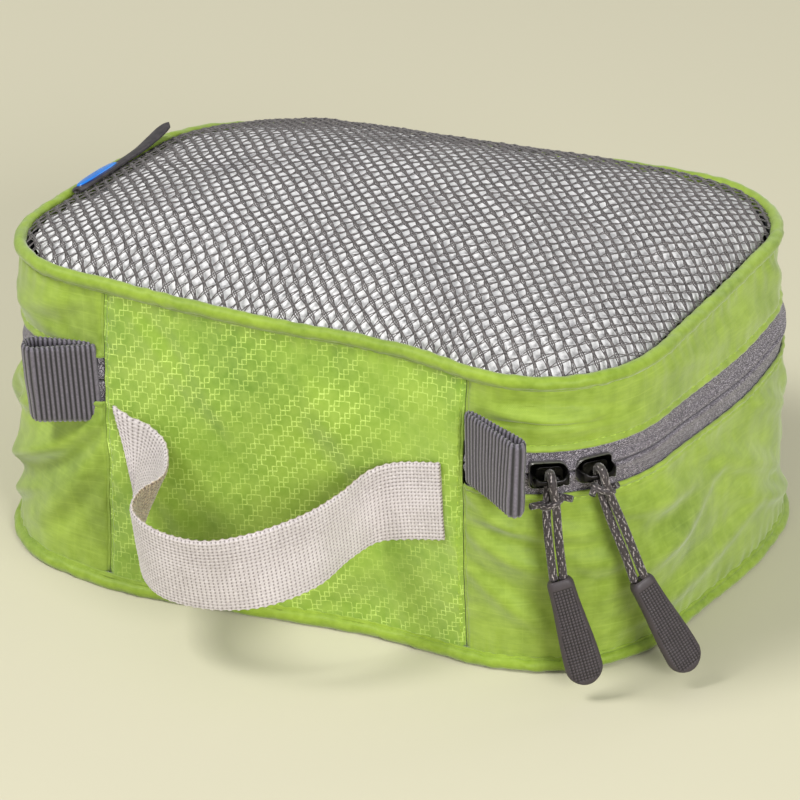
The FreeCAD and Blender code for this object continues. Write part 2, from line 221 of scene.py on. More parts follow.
# ------------------------------------------------------------------ the soft shape: how far the cloth leaves the straight-sided outline
_ZK = [1, 20, 45, 66, 80, 94]
_D = [  # s, then mm outwards at each height of _ZK
    (0, [0.5, 0.5, 0.0, -1.0, -1.5, -2.2]),
    (20, [-5.0, -4.0, -3.6, -4.2, -5.3, -5.8]),
    (40, [-6.4, -5.0, -4.0, -4.2, -6.0, -6.9]),
    (56, [-6.7, -5.2, -3.4, -2.4, -4.2, -5.6]),
    (68, [-6.4, -4.0, -1.8, 0.0, -1.4, -2.4]),
    (78, [-5.6, -2.6, -0.4, 0.0, -0.3, -0.4]),
    (94, [-3.0, 0.4, 1.4, -0.2, 0.7, 1.0]),
    (110, [-1.5, 2.4, 2.8, -0.4, 0.6, 0.0]),
    (128, [2.0, 5.0, 3.6, -0.5, 0.2, -1.2]),
    (145, [3.0, 5.0, 4.0, 1.4, 0.0, -1.5]),
    (175, [6.6, 7.0, 4.8, 2.8, 0.3, -2.5]),
    (196, [4.6, 4.2, 2.2, 1.6, -1.0, -3.5]),
    (214, [2.4, 1.0, -1.8, 0.8, -3.4, -3.8]),
    (232, [0.0, 0.0, -1.0, 0.0, -2.0, -2.4]),
    (256, [0.0, 1.0, 0.0, 0.0, 0.0, 1.5]),
    (296, [0.0, 0.0, 0.0, 0.0, -2.0, -3.5]),
    (331, [0.0, 0.0, 0.0, -1.0, -4.5, -7.6]),
    (361, [0.0, 0.0, 0.0, -1.5, -6.5, -11.0]),
    (385, [0.0, 0.0, 0.0, -2.0, -8.0, -13.0]),
    (408, [0.0, 1.0, 1.0, -1.0, -7.0, -12.0]),
    (430, [0.5, 2.0, 2.0, 0.0, -4.0, -8.5]),
    (455, [1.0, 3.0, 3.0, 1.0, -1.5, -3.2]),
    (495, [1.4, 2.6, 2.4, 0.4, 0.8, -1.5]),
    (520, [2.2, 2.4, 2.4, 0.0, 1.4, -0.8]),
    (536, [3.6, 2.8, 2.6, 0.0, 1.6, -0.4]),
    (552, [7.0, 5.0, 3.0, 0.4, 1.2, 0.2]),
    (567, [9.8, 7.2, 3.6, 0.8, 0.8, 0.2]),
    (582, [11.2, 8.6, 4.6, 1.0, 0.4, -0.2]),
    (597, [8.4, 7.0, 3.8, 1.0, 0.4, 0.0]),
    (617, [4.0, 3.4, 2.2, 0.6, 0.0, -0.6]),
]
_DZ = [  # s, then mm upwards at heights 1, 66, 94
    (0, [0, 0, 0]), (60, [0, 0, 0]), (120, [0, 0, 0]), (132, [0, 0, 0]), (152, [0, -1.2, 0]), (178, [0, -2.4, 0]), (205, [0, -0.5, 0]),
    (232, [0, 0.4, 0]), (270, [0, 0, -0.8]), (310, [0, 0, -3.0]), (345, [0, 0, -5.6]), (372, [0, -1, -8.0]), (410, [0, -1, -7.6]), (435, [0, -1, -4.4]),
    (450, [0, -2.5, 0]), (495, [0, -4.2, 0]), (530, [0, -4.6, 0]), (575, [0, -4.2, 0]), (600, [0, -2.5, 0]), (620, [0, -0.8, 0]),
]
_DT = [  # s, then mm along s at each height of _ZK
    (0, [2.0, 1.6, 1.0, 0.3, 0.3, 0.5]), (30, [0] * 6), (60, [0] * 6), (500, [0] * 6),
    (545, [2.0, 1.6, 1.0, 0.3, 0.3, 0.8]), (578, [7.0, 6.0, 3.6, 1.2, 1.4, 2.0]), (605, [5.0, 4.2, 2.6, 0.8, 1.0, 1.4]),
]
NS, ZG0, ZG1, DZG = 320, -8.0, 124.0, 2.0
_zg = np.arange(ZG0, ZG1 + 0.1, DZG)


def _field(table, zk, sig_s=9.0, sig_z=5.0):
    sg = np.arange(NS) * PER / NS
    ks = np.array([r[0] for r in table], float)
    vals = np.array([r[1] for r in table], float)
    ks3 = np.concatenate([ks - PER, ks, ks + PER])
    g = np.zeros((NS, len(_zg)))
    cols = [np.interp(sg, ks3, np.tile(vals[:, k], 3)) for k in range(len(zk))]
    step = PER / NS
    kern = np.exp(-(np.arange(-20, 21) * step / sig_s) ** 2 / 2)
    kern /= kern.sum()
    cols = [np.convolve(np.tile(c, 3), kern, "same")[NS:2 * NS] for c in cols]
    cols = np.stack(cols, 1)
    for i in range(NS):
        g[i] = np.interp(_zg, zk, cols[i])
    kz = np.exp(-(np.arange(-8, 9) * DZG / sig_z) ** 2 / 2)
    kz /= kz.sum()
    pad = np.pad(g, ((0, 0), (8, 8)), mode="edge")
    return np.stack([np.convolve(pad[i], kz, "valid") for i in range(NS)])


F_D, F_DZ, F_DT = _field(_D, _ZK), _field(_DZ, [1, 66, 94], sig_z=3.0), _field(_DT, _ZK, sig_s=6.0)


def look(g, s, z):
    """Bilinear value of a field at (s, z)."""
    s, z = np.broadcast_arrays(np.asarray(s, float), np.asarray(z, float))
    a = np.mod(s, PER) / PER * NS
    i = np.floor(a).astype(int)
    fa = a - i
    b = np.clip((z - ZG0) / DZG, 0, g.shape[1] - 1.001)
    j = np.floor(b).astype(int)
    fb = b - j
    i0, i1 = i % NS, (i + 1) % NS
    return ((g[i0, j] * (1 - fa) + g[i1, j] * fa) * (1 - fb) + (g[i0, j + 1] * (1 - fa) + g[i1, j + 1] * fa) * fb)


def seam_groove(s):
    """How far the cloth dips in at the two front seams."""
    s = np.mod(np.asarray(s, float), PER)
    return -1.15 * (bump(s - SEAM_R, 0.9) + bump(s - SEAM_L, 0.9)) - 0.35 * (bump(s - SEAM_R, 3.0) + bump(s - SEAM_L, 3.0))


def crease(s, z, s0, z0, s1, z1, w, h):
    """A soft fold from (s0, z0) to (s1, z1), w wide and h high, dying away at its ends."""
    d = np.array([s1 - s0, z1 - z0], float)
    L = np.hypot(*d)
    d /= L
    ds = np.mod(s - s0 + PER / 2, PER) - PER / 2
    u = (ds * d[0] + (z - z0) * d[1]) / L
    v = -ds * d[1] + (z - z0) * d[0]
    t = np.clip(u, 0, 1)
    along = np.where((u > -0.25) & (u < 1.25), np.sin(np.pi * np.clip((u + 0.25) / 1.5, 0, 1)) ** 1.2, 0)
    k = v / (w * (0.6 + 0.4 * np.sin(np.pi * t)))
    return h * along * (np.exp(-k ** 2) - 0.45 * np.exp(-((k - 1.7) / 0.9) ** 2))


CREASES = [
    # under the left loop and round the front left corner
    (575, 52, 545, 30, 3.2, 1.6), (573, 58, 540, 46, 2.6, 1.3), (577, 47, 556, 14, 3.4, 1.3), (560, 40, 528, 20, 4.0, 1.5),
    (545, 62, 520, 30, 3.0, 1.2), (536, 58, 520, 12, 3.4, 1.3), (552, 22, 530, 7, 2.6, 1.2), (506, 56, 480, 24, 4.0, 1.4),
    (583, 34, 600, 12, 3.4, 0.8), (588, 86, 606, 70, 3.0, 0.5), (572, 88, 545, 80, 3.0, 0.7), (566, 76, 535, 82, 2.4, 0.6),
    # right of the front right seam, under the zipper
    (62, 56, 74, 48, 2.6, 0.9), (61, 44, 92, 30, 3.6, 1.2), (63, 30, 86, 14, 3.4, 1.1), (66, 50, 108, 44, 3.4, 1.2),
    (80, 38, 128, 34, 4.6, 1.4), (96, 52, 150, 44, 3.8, 1.4), (104, 26, 150, 42, 4.6, 1.3), (112, 12, 168, 20, 4.4, 1.2),
    (150, 50, 192, 26, 4.4, 1.8), (160, 34, 196, 14, 3.8, 1.5), (176, 56, 206, 40, 3.4, 1.3), (186, 20, 214, 8, 3.0, 1.1),
    (204, 52, 222, 30, 3.0, 1.4), (210, 30, 226, 10, 3.0, 1.2),
    # lid
    (68, 81.2, 99, 80.4, 0.9, -1.3), (70, 84.0, 98, 83.0, 2.0, 0.7),
    (70, 84, 110, 78, 3.4, 0.7), (118, 88, 160, 80, 3.6, 0.8), (160, 84, 196, 76, 3.4, 0.8), (196, 88, 214, 76, 2.8, 0.8),
    # front panel, pulled by the handle
    (622, 58, 604, 84, 5.0, 0.6), (26, 52, 6, 80, 5.0, 0.6), (36, 30, 12, 10, 5.0, 0.8), (52, 60, 58, 30, 3.2, 0.6),
    (600, 30, 618, 8, 5.0, 0.9), (10, 40, -9, 20, 6.0, 0.7),
    # back and left, as on the sides that show
    (262, 50, 300, 36, 4.4, 1.3), (290, 24, 330, 40, 4.6, 1.3), (330, 52, 372, 30, 4.4, 1.3), (352, 18, 396, 30, 4.4, 1.3),
    (392, 52, 420, 22, 4.0, 1.3), (430, 46, 470, 28, 4.4, 1.4), (446, 18, 488, 38, 4.4, 1.3), (270, 88, 320, 78, 3.4, 0.7),
    (340, 80, 390, 88, 3.4, 0.7), (420, 88, 470, 78, 3.4, 0.7), (480, 82, 515, 88, 3.4, 0.7),
]


def wrinkle(s, z):
    """Extra mm outwards for the soft cloth of the walls; nothing at its sewn edges."""
    s, z = np.broadcast_arrays(np.asarray(s, float), np.asarray(z, float))
    shape = s.shape
    s, z = s.ravel(), z.ravel()
    p, n = plan(s)
    q = np.column_stack([p, z])
    broad = 1.2 * fnoise(q / np.array([30, 30, 24]), 2)
    mid = 0.34 * fnoise(q / np.array([9, 9, 15]) + 5.1, 2)
    fine = 0.10 * fnoise(q / np.array([3.0, 3.0, 4.5]) + 9.7, 2)
    low = smooth01((z - 3.2) / 9) * smooth01((60.5 - z) / 7)
    high = smooth01((z - 71.5) / 5) * smooth01((93.5 - z) / 6)
    front = smooth01((59 - np.minimum(np.mod(s, PER), PER - np.mod(s, PER))) / 4)   # 1 on the front panel
    band = smooth01((z - 3.2) / 9) * smooth01((93.5 - z) / 6)
    m = np.where(z < 66, low, high) * (1 - front) + band * front * 0.75
    out = (broad + mid + fine) * m
    for c in CREASES:
        out = out + 1.45 * crease(s, z, *c) * m
    # gathers along the sewn edges
    for z0, amp in ((4.0, 0.30), (59.5, 0.20), (72.5, 0.18), (92.0, 0.26)):
        k = (1 - front) if z0 in (59.5, 72.5) else 1.0
        ph = 3.5 * vnoise(np.column_stack([p / 18, np.full(len(s), z0)]))
        out = out + amp * k * np.sin(s * 2 * np.pi / 5.6 + ph * 2.2) * np.exp(-np.abs(z - z0) / 3.6) * smooth01(np.abs(z - z0) / 0.9 + 0.3)
    for s0 in (SEAM_R, SEAM_L):
        ds = np.abs(np.mod(s - s0 + PER / 2, PER) - PER / 2)
        out = out + 0.22 * np.sin(z * 2 * np.pi / 7.3 + 4 * vnoise(np.column_stack([z / 13, s * 0 + s0, s * 0]))) * np.exp(-ds / 3.4) * band
    return out.reshape(shape)


SIM = None   # extra mm outwards on the same (s, z) grid as the other fields; this script leaves it at None


def soft(s, off, z, wr=0.0):
    """Points of the row frame (mm) for lengths s, mm outwards and height z; wr is how much of the wrinkles they follow."""
    s, off, z = np.broadcast_arrays(np.asarray(s, float), np.asarray(off, float), np.asarray(z, float))
    shape = s.shape
    s, off, z = s.ravel(), off.ravel(), z.ravel()
    s2 = s + look(F_DT, s, z)
    p, n = plan(s2)
    d = off + look(F_D, s, z)
    if np.ndim(wr) or wr:
        w = wrinkle(s, z)
        if SIM is not None:
            w = w + look(SIM, s, z)
        d = d + w * wr
    xy = p + n * d[:, None]
    out = np.column_stack([xy, z + look(F_DZ, s, z)])
    return out.reshape(shape + (3,))


# ------------------------------------------------------------------ polar map of the plan, for what lies inside the outline
_sg = np.linspace(0, PER, 2400, endpoint=False)
_pp, _ = plan(_sg)
_th = np.arctan2(_pp[:, 1], _pp[:, 0])
_o = np.argsort(_th)
_TH = np.concatenate([_th[_o] - 2 * np.pi, _th[_o], _th[_o] + 2 * np.pi])
_RR = np.tile(np.hypot(_pp[_o, 0], _pp[_o, 1]), 3)
_sw = _sg[_o]


def inside(x, y):
    """(share of the way out to the outline, s of the outline point in the same direction)."""
    t = np.arctan2(y, x)
    R = np.interp(t, _TH, _RR)
    i = np.clip(np.searchsorted(_th[_o], t), 0, len(_sw) - 1)
    return np.hypot(x, y) / R, _sw[i]


def to_top(x, y, z_edge=94.0, power=3.0):
    """Moves plan points so that the outline goes where the soft top edge is; also gives the drop in height there."""
    rho, s = inside(x, y)
    _, n = plan(s)
    k = np.clip(rho, 0, 1.1) ** power
    d = look(F_D, s, z_edge)
    return x + n[:, 0] * d * k, y + n[:, 1] * d * k, look(F_DZ, s, z_edge) * k, rho, s


def dome(x, y):
    fx, fy = np.minimum(1, np.abs(x) / 99.0), np.minimum(1, np.abs(y) / 74.0)
    rho, _ = inside(x, y)
    full = 14.9 * (1 - np.clip(rho, 0, 1) ** 3.4) ** 0.92
    h = 0.35 * 14.6 * (1 - fx ** 2.6) * (1 - fy ** 2.4) + 0.65 * full
    low = 2.5 * np.exp(-((x + 62) / 38) ** 2 - ((y - 46) / 30) ** 2) + 1.3 * np.exp(-((x - 5) / 52) ** 2 - ((y - 50) / 24) ** 2)
    h = h - low * (1 - np.clip(rho, 0, 1) ** 8)
    q = np.column_stack([x / 26, y / 22, np.zeros(len(x))])
    return h + 1.1 * fnoise(q + 3.3, 3) * np.clip(h / 6, 0, 1)


# ------------------------------------------------------------------ materials
class Mat:
    """A small writer of node materials. Texture coordinates are the UV map, in millimetres on the piece."""

    def __init__(self, name, rough=0.6, sheen=0.0, spec=0.4, metal=0.0):
        self.m = bpy.data.materials.new(name)
        self.m.use_nodes = True
        self.t = self.m.node_tree
        self.b = self.t.nodes["Principled BSDF"]
        self.b.inputs["Roughness"].default_value = rough
        self.b.inputs["Sheen Weight"].default_value = sheen
        self.b.inputs["Specular IOR Level"].default_value = spec
        self.b.inputs["Metallic"].default_value = metal
        self.uvn = self.t.nodes.new("ShaderNodeUVMap")
        self.uvn.uv_map = "UVMap"
        self.xyz = self.t.nodes.new("ShaderNodeSeparateXYZ")
        self.t.links.new(self.uvn.outputs[0], self.xyz.inputs[0])
        self.u, self.v = self.xyz.outputs[0], self.xyz.outputs[1]
        self.obj = self.t.nodes.new("ShaderNodeTexCoord").outputs["Object"]

    def link(self, a, b):
        self.t.links.new(a, b)

    def _in(self, sock, val):
        if isinstance(val, (int, float)):
            sock.default_value = val
        elif isinstance(val, tuple):
            sock.default_value = val if len(val) == 4 or sock.type == "VECTOR" else (*val, 1)
        else:
            self.link(val, sock)

    def f(self, op, a, b=0.0, c=None, clamp=False):
        n = self.t.nodes.new("ShaderNodeMath")
        n.operation, n.use_clamp = op, clamp
        self._in(n.inputs[0], a)
        self._in(n.inputs[1], b)
        if c is not None:
            self._in(n.inputs[2], c)
        return n.outputs[0]

    def tri(self, x, period):
        """Distance, in the units of x, to the nearest multiple of period."""
        return self.f("PINGPONG", x, period / 2)

    def line(self, dist, w, soft_w=None):
        """1 where dist is under w, falling to 0."""
        n = self.t.nodes.new("ShaderNodeMapRange")
        n.interpolation_type = "SMOOTHSTEP"
        self._in(n.inputs[0], dist)
        n.inputs[1].default_value, n.inputs[2].default_value = w, w + (soft_w or w)
        n.inputs[3].default_value, n.inputs[4].default_value = 1.0, 0.0
        return n.outputs[0]

    def remap(self, x, a, b, c, d):
        n = self.t.nodes.new("ShaderNodeMapRange")
        self._in(n.inputs[0], x)
        n.inputs[1].default_value, n.inputs[2].default_value = a, b
        n.inputs[3].default_value, n.inputs[4].default_value = c, d
        return n.outputs[0]

    def noise(self, scale, detail=3.0, vec=None, rough=0.55, stretch=None):
        n = self.t.nodes.new("ShaderNodeTexNoise")
        n.inputs["Scale"].default_value = scale
        n.inputs["Detail"].default_value = detail
        n.inputs["Roughness"].default_value = rough
        src = vec if vec is not None else self.obj
        if stretch is not None:
            k = self.t.nodes.new("ShaderNodeVectorMath")
            k.operation = "MULTIPLY"
            self.link(src, k.inputs[0])
            k.inputs[1].default_value = stretch
            src = k.outputs[0]
        self.link(src, n.inputs["Vector"])
        return n.outputs[0]

    def mix(self, fac, a, b, blend="MIX"):
        n = self.t.nodes.new("ShaderNodeMix")
        n.data_type, n.blend_type = "RGBA", blend
        self._in(n.inputs[0], fac)
        self._in(n.inputs[6], a)
        self._in(n.inputs[7], b)
        return n.outputs[2]

    def attr(self, name):
        n = self.t.nodes.new("ShaderNodeAttribute")
        n.attribute_name = name
        return n.outputs["Fac"]

    def color(self, c):
        self._in(self.b.inputs["Base Color"], c)

    def rough(self, r):
        self._in(self.b.inputs["Roughness"], r)

    def bumps(self, *layers):
        """layers: (height socket, strength, distance in metres)."""
        prev = None
        for h, strength, dist in layers:
            n = self.t.nodes.new("ShaderNodeBump")
            n.inputs["Strength"].default_value = strength
            n.inputs["Distance"].default_value = dist
            self.link(h, n.inputs["Height"])
            if prev is not None:
                self.link(prev, n.inputs["Normal"])
            prev = n.outputs[0]
        self.link(prev, self.b.inputs["Normal"])


def lin(r, g, b):
    return tuple(((c / 255) / 12.92 if c / 255 <= 0.04045 else ((c / 255 + 0.055) / 1.055) ** 2.4) for c in (r, g, b)) + (1.0,)


def weave_height(m, pu, pv):
    """Plain weave: threads pu and pv millimetres apart, over and under each other."""
    a = m.f("SINE", m.f("MULTIPLY", m.u, 2 * math.pi / (2 * pu)))
    b = m.f("SINE", m.f("MULTIPLY", m.v, 2 * math.pi / (2 * pv)))
    return m.f("MULTIPLY", a, b)


LIME = (143, 168, 50)
LIME_DARK = (104, 129, 30)
LIME_PALE = (172, 196, 88)


def make_side_cloth():
    m = Mat("lime_nylon", rough=0.58, sheen=0.35, spec=0.35)
    n1 = m.noise(34.0, 4.0)
    n2 = m.noise(240.0, 3.0)
    warp_n = m.f("MULTIPLY", m.noise(90.0, 1.0), 0.25)
    lu = m.line(m.tri(m.f("ADD", m.u, warp_n), 5.2), 0.10, 0.16)
    lv = m.line(m.tri(m.f("ADD", m.v, warp_n), 4.7), 0.10, 0.16)
    grid = m.f("MAXIMUM", m.f("MULTIPLY", lu, 0.55), lv)
    patchy = m.remap(m.noise(60.0, 2.0), 0.35, 0.65, 0.15, 1.0)
    grid = m.f("MULTIPLY", grid, patchy)
    streak = m.noise(1.0, 2.0, stretch=(160.0, 160.0, 1400.0))
    c = m.mix(m.remap(n1, 0.3, 0.7, 0.0, 1.0), lin(*LIME_DARK), lin(*LIME))
    c = m.mix(m.remap(n2, 0.35, 0.7, 0.0, 0.32), c, lin(*LIME_PALE))
    c = m.mix(m.remap(streak, 0.4, 0.65, 0.0, 0.18), c, lin(96, 122, 16))
    c = m.mix(m.f("MULTIPLY", grid, 0.09), c, lin(198, 222, 104))
    m.color(c)
    m.rough(m.remap(n2, 0.3, 0.7, 0.48, 0.66))
    m.bumps((weave_height(m, 0.28, 0.28), 0.25, 0.00006), (grid, 0.12, 0.00005), (n2, 0.22, 0.0004), (m.noise(900.0, 2.0), 0.2, 0.0001))
    return m.m


def make_front_cloth():
    m = Mat("lime_ripstop", rough=0.5, sheen=0.3, spec=0.45)
    k = math.radians(5.0)
    u = m.f("ADD", m.f("MULTIPLY", m.u, math.cos(k)), m.f("MULTIPLY", m.v, math.sin(k)))
    v = m.f("SUBTRACT", m.f("MULTIPLY", m.v, math.cos(k)), m.f("MULTIPLY", m.u, math.sin(k)))
    # the weave steps of the pattern's lines
    st = 0.30
    us = m.f("MULTIPLY", m.f("FLOOR", m.f("DIVIDE", u, st)), st)
    vs = m.f("MULTIPLY", m.f("FLOOR", m.f("DIVIDE", v, st)), st)
    u = m.f("ADD", m.f("MULTIPLY", u, 0.45), m.f("MULTIPLY", us, 0.55))
    v = m.f("ADD", m.f("MULTIPLY", v, 0.45), m.f("MULTIPLY", vs, 0.55))
    # zigzag lines on a skew lattice, doubled one way
    su = m.f("DIVIDE", m.f("ADD", u, 660.0), 6.3)
    sv = m.f("DIVIDE", m.f("ADD", v, 680.0), 6.5)
    p, q = m.f("ADD", su, sv), m.f("ADD", m.f("SUBTRACT", su, sv), 300.0)
    zp, zq = m.f("MULTIPLY", m.tri(p, 0.5), 0.85), m.f("MULTIPLY", m.tri(q, 0.5), 0.85)
    one = m.f("MAXIMUM", m.line(m.tri(m.f("ADD", q, zp), 1.0), 0.020, 0.046), m.line(m.tri(m.f("SUBTRACT", q, zp), 1.0), 0.014, 0.038))
    two = m.line(m.tri(m.f("ADD", p, zq), 1.0), 0.018, 0.042)
    lines = m.f("MAXIMUM", one, m.f("MULTIPLY", two, 0.8))
    n1 = m.noise(30.0, 4.0)
    n2 = m.noise(260.0, 3.0)
    patchy = m.remap(m.noise(45.0, 3.0), 0.34, 0.60, 0.16, 1.0)
    sparkle = m.remap(m.noise(2400.0, 1.0), 0.35, 0.65, 0.45, 1.0)
    lines = m.f("MULTIPLY", m.f("MULTIPLY", lines, patchy), sparkle)
    c = m.mix(m.remap(n1, 0.3, 0.7, 0.0, 1.0), lin(104, 140, 32), lin(140, 170, 50))
    c = m.mix(m.remap(n2, 0.35, 0.7, 0.0, 0.30), c, lin(*LIME_PALE))
    c = m.mix(m.f("MULTIPLY", lines, 0.85), c, lin(208, 234, 120))
    m.color(c)
    m.rough(m.remap(lines, 0.0, 1.0, 0.5, 0.38))
    m.bumps((weave_height(m, 0.28, 0.28), 0.22, 0.00006), (lines, 0.3, 0.00010), (n2, 0.2, 0.0004), (m.noise(900.0, 2.0), 0.2, 0.0001))
    return m.m


def make_piping_cloth():
    m = Mat("lime_piping", rough=0.55, sheen=0.3, spec=0.35)
    n1 = m.noise(45.0, 3.0)
    n2 = m.noise(420.0, 3.0)
    diag = m.tri(m.f("ADD", m.u, m.v), 0.55)
    c = m.mix(m.remap(n1, 0.3, 0.7, 0.0, 1.0), lin(110, 136, 26), lin(132, 157, 36))
    c = m.mix(m.remap(n2, 0.35, 0.7, 0.0, 0.25), c, lin(170, 195, 80))
    m.color(c)
    m.bumps((diag, 0.3, 0.0001), (n2, 0.3, 0.0004))
    return m.m


def make_plain(name, a, b, scale=300.0, rough=0.6, sheen=0.0, spec=0.4, metal=0.0, bump_s=0.25, dist=0.0002, rr=None):
    m = Mat(name, rough, sheen, spec, metal)
    n = m.noise(scale, 4.0)
    m.color(m.mix(m.remap(n, 0.3, 0.7, 0.0, 1.0), lin(*a), lin(*b)))
    if rr:
        m.rough(m.remap(m.noise(scale * 0.4, 3.0), 0.3, 0.7, rr[0], rr[1]))
    m.bumps((n, bump_s, dist), (m.noise(scale * 5, 2.0), bump_s * 0.6, dist * 0.3))
    return m.m


def make_net():
    m = Mat("net_knit", rough=0.62, sheen=0.15, spec=0.35)
    n = m.noise(1500.0, 2.0)
    n2 = m.noise(60.0, 2.0)
    dark = m.attr("dark")
    # tone per yarn from the dark attribute; the lighter middle yarn of each dark strand is a painted highlight
    c = m.mix(dark, lin(88, 83, 83), lin(32, 29, 30))
    # random pale flecks along the yarns: painted highlights on the threads
    c = m.mix(m.remap(n, 0.35, 0.7, 0.0, 0.55), c, lin(150, 144, 142))
    c = m.mix(m.remap(n2, 0.3, 0.7, 0.0, 0.3), c, lin(40, 37, 37))
    m.color(c)
    m.bumps((n, 0.6, 0.00015), )
    return m.m


def make_paper():
    m = Mat("tissue", rough=0.62, sheen=0.1, spec=0.3)
    n = m.noise(140.0, 5.0)
    m.color(m.mix(m.remap(n, 0.3, 0.7, 0.0, 1.0), lin(236, 236, 238), lin(252, 252, 252)))
    m.b.inputs["Subsurface Weight"].default_value = 0.0
    m.b.inputs["Emission Color"].default_value = (1, 1, 1, 1)
    m.b.inputs["Emission Strength"].default_value = 0.0
    m.bumps((m.noise(260.0, 5.0), 0.5, 0.0008), (m.noise(1400.0, 2.0), 0.3, 0.0002))
    return m.m


def make_tape():
    m = Mat("zipper_tape", rough=0.66, sheen=0.2, spec=0.35)
    # herringbone: chevrons 1.6 mm wide, threads 0.42 mm apart
    zig = m.tri(m.u, 1.9)
    ph = m.f("ADD", m.f("MULTIPLY", m.v, 1.0), m.f("MULTIPLY", zig, 1.0))
    th = m.tri(ph, 0.62)
    thread = m.line(th, 0.06, 0.20)
    n = m.noise(1300.0, 2.0)
    c = m.mix(thread, lin(20, 16, 22), lin(132, 125, 136))
    c = m.mix(m.remap(m.noise(2400.0, 1.0), 0.40, 0.58, 0.7, 0.0), c, lin(22, 19, 24))
    c = m.mix(m.remap(m.noise(3000.0, 1.0), 0.52, 0.66, 0.0, 0.8), c, lin(190, 184, 192))
    m.color(c)
    m.bumps((thread, 0.5, 0.00016), (n, 0.3, 0.0001))
    return m.m


def make_coil():
    m = Mat("zipper_coil", rough=0.34, spec=0.5)
    n = m.noise(700.0, 2.0)
    m.color(m.mix(m.remap(n, 0.3, 0.7, 0.0, 1.0), lin(38, 36, 40), lin(58, 54, 60)))
    m.bumps((n, 0.15, 0.0001))
    return m.m


def make_webbing():
    m = Mat("webbing", rough=0.6, sheen=0.35, spec=0.4)
    hole = m.attr("hole")
    n = m.noise(1500.0, 2.0)
    n2 = m.noise(70.0, 3.0)
    under = m.attr("under")
    c = m.mix(m.remap(n2, 0.3, 0.7, 0.0, 1.0), lin(176, 168, 168), lin(198, 190, 192))
    c = m.mix(m.remap(n, 0.38, 0.7, 0.0, 0.4), c, lin(232, 226, 226))
    # the back face is painted darker and brown: partly the webbing's own brownish back, partly painted shade on the
    # strap's underside
    c = m.mix(m.f("MULTIPLY", under, 0.85), c, m.mix(m.remap(n, 0.42, 0.6, 0.0, 1.0), lin(112, 92, 66), lin(178, 156, 122)))
    # the gaps between the yarns painted dark: painted shade in the weave's recesses
    c = m.mix(m.f("MULTIPLY", hole, 0.94), c, lin(66, 54, 50))
    m.color(c)
    m.bumps((n, 0.35, 0.00012), )
    return m.m


def make_grosgrain():
    m = Mat("grosgrain", rough=0.5, sheen=0.3, spec=0.45)
    rib = m.attr("rib")
    n = m.noise(1500.0, 2.0)
    cross = m.line(m.tri(m.v, 0.42), 0.05, 0.12)
    # raised ribs painted pale and the grooves between them near black: painted highlight and painted shade following
    # the ribs
    c = m.mix(m.remap(rib, 0.45, 0.98, 0.0, 1.0), lin(10, 8, 13), lin(116, 110, 122))
    c = m.mix(m.f("MULTIPLY", m.remap(n, 0.35, 0.68, 0.0, 0.6), 0.6), c, lin(46, 43, 50))
    c = m.mix(m.f("MULTIPLY", cross, 0.25), c, lin(30, 28, 32))
    m.color(c)
    m.bumps((n, 0.3, 0.00010), (cross, 0.3, 0.00008))
    return m.m


def make_cord():
    m = Mat("braided_cord", rough=0.58, sheen=0.25, spec=0.4)
    fleck, top = m.attr("fleck"), m.attr("top")
    n = m.noise(2200.0, 2.0)
    # raised yarns painted lighter and the grooves between them near black: painted highlight and painted shade from the
    # braid's relief
    c = m.mix(top, lin(14, 11, 13), lin(62, 54, 55))
    c = m.mix(m.f("MULTIPLY", fleck, m.f("MULTIPLY", top, m.remap(m.noise(1100.0, 1.0), 0.42, 0.54, 0.0, 1.0))), c, lin(206, 196, 194))
    c = m.mix(m.remap(n, 0.4, 0.7, 0.0, 0.35), c, lin(44, 38, 42))
    m.color(c)
    m.bumps((n, 0.4, 0.0001), )
    return m.m


def make_grip():
    m = Mat("grip_rubber", rough=0.55, spec=0.4)
    cell = m.attr("cell")
    n = m.noise(1600.0, 2.0)
    # raised squares lighter, the grooves between them near black: painted shade in the grooves
    c = m.mix(cell, lin(14, 11, 13), lin(68, 61, 64))
    c = m.mix(m.remap(n, 0.35, 0.7, 0.0, 0.3), c, lin(70, 64, 70))
    m.color(c)
    m.rough(m.remap(m.noise(300.0, 2.0), 0.3, 0.7, 0.45, 0.62))
    m.bumps((n, 0.2, 0.00006), )
    return m.m


def make_metal(name, a, b, rough=(0.22, 0.42)):
    m = Mat(name, rough=0.3, metal=0.9, spec=0.5)
    n = m.noise(600.0, 4.0)
    edge = m.attr("edge")
    c = m.mix(m.remap(n, 0.3, 0.7, 0.0, 1.0), lin(*a), lin(*b))
    # edges marked by the edge attribute painted near white: a painted highlight
    c = m.mix(edge, c, lin(214, 212, 208))
    m.color(c)
    m.rough(m.remap(n, 0.3, 0.7, rough[0], rough[1]))
    m.bumps((m.noise(1400.0, 3.0), 0.12, 0.00005), )
    return m.m


M_SIDE, M_FRONT, M_PIPE = make_side_cloth(), make_front_cloth(), make_piping_cloth()
M_NET, M_PAPER, M_TAPE, M_COIL = make_net(), make_paper(), make_tape(), make_coil()
M_WEB, M_GROS, M_CORD, M_GRIP = make_webbing(), make_grosgrain(), make_cord(), make_grip()
M_METAL = make_metal("gunmetal", (26, 25, 26), (46, 44, 45))
M_THREAD = make_plain("lime_thread", (112, 142, 22), (176, 204, 74), 900.0, 0.5, 0.2, 0.4)
M_WTHREAD = make_plain("grey_thread", (206, 198, 194), (236, 230, 228), 900.0, 0.5, 0.2, 0.4)
M_BIND = make_plain("binding_tape", (44, 44, 46), (66, 66, 68), 500.0, 0.7, 0.2, 0.3)
M_CORE = make_plain("piping_core", (196, 196, 190), (216, 216, 210), 600.0, 0.7)
M_TAB = make_plain("tab_rubber", (44, 42, 44), (66, 62, 64), 420.0, 0.5, 0.0, 0.4, rr=(0.4, 0.6), bump_s=0.2)
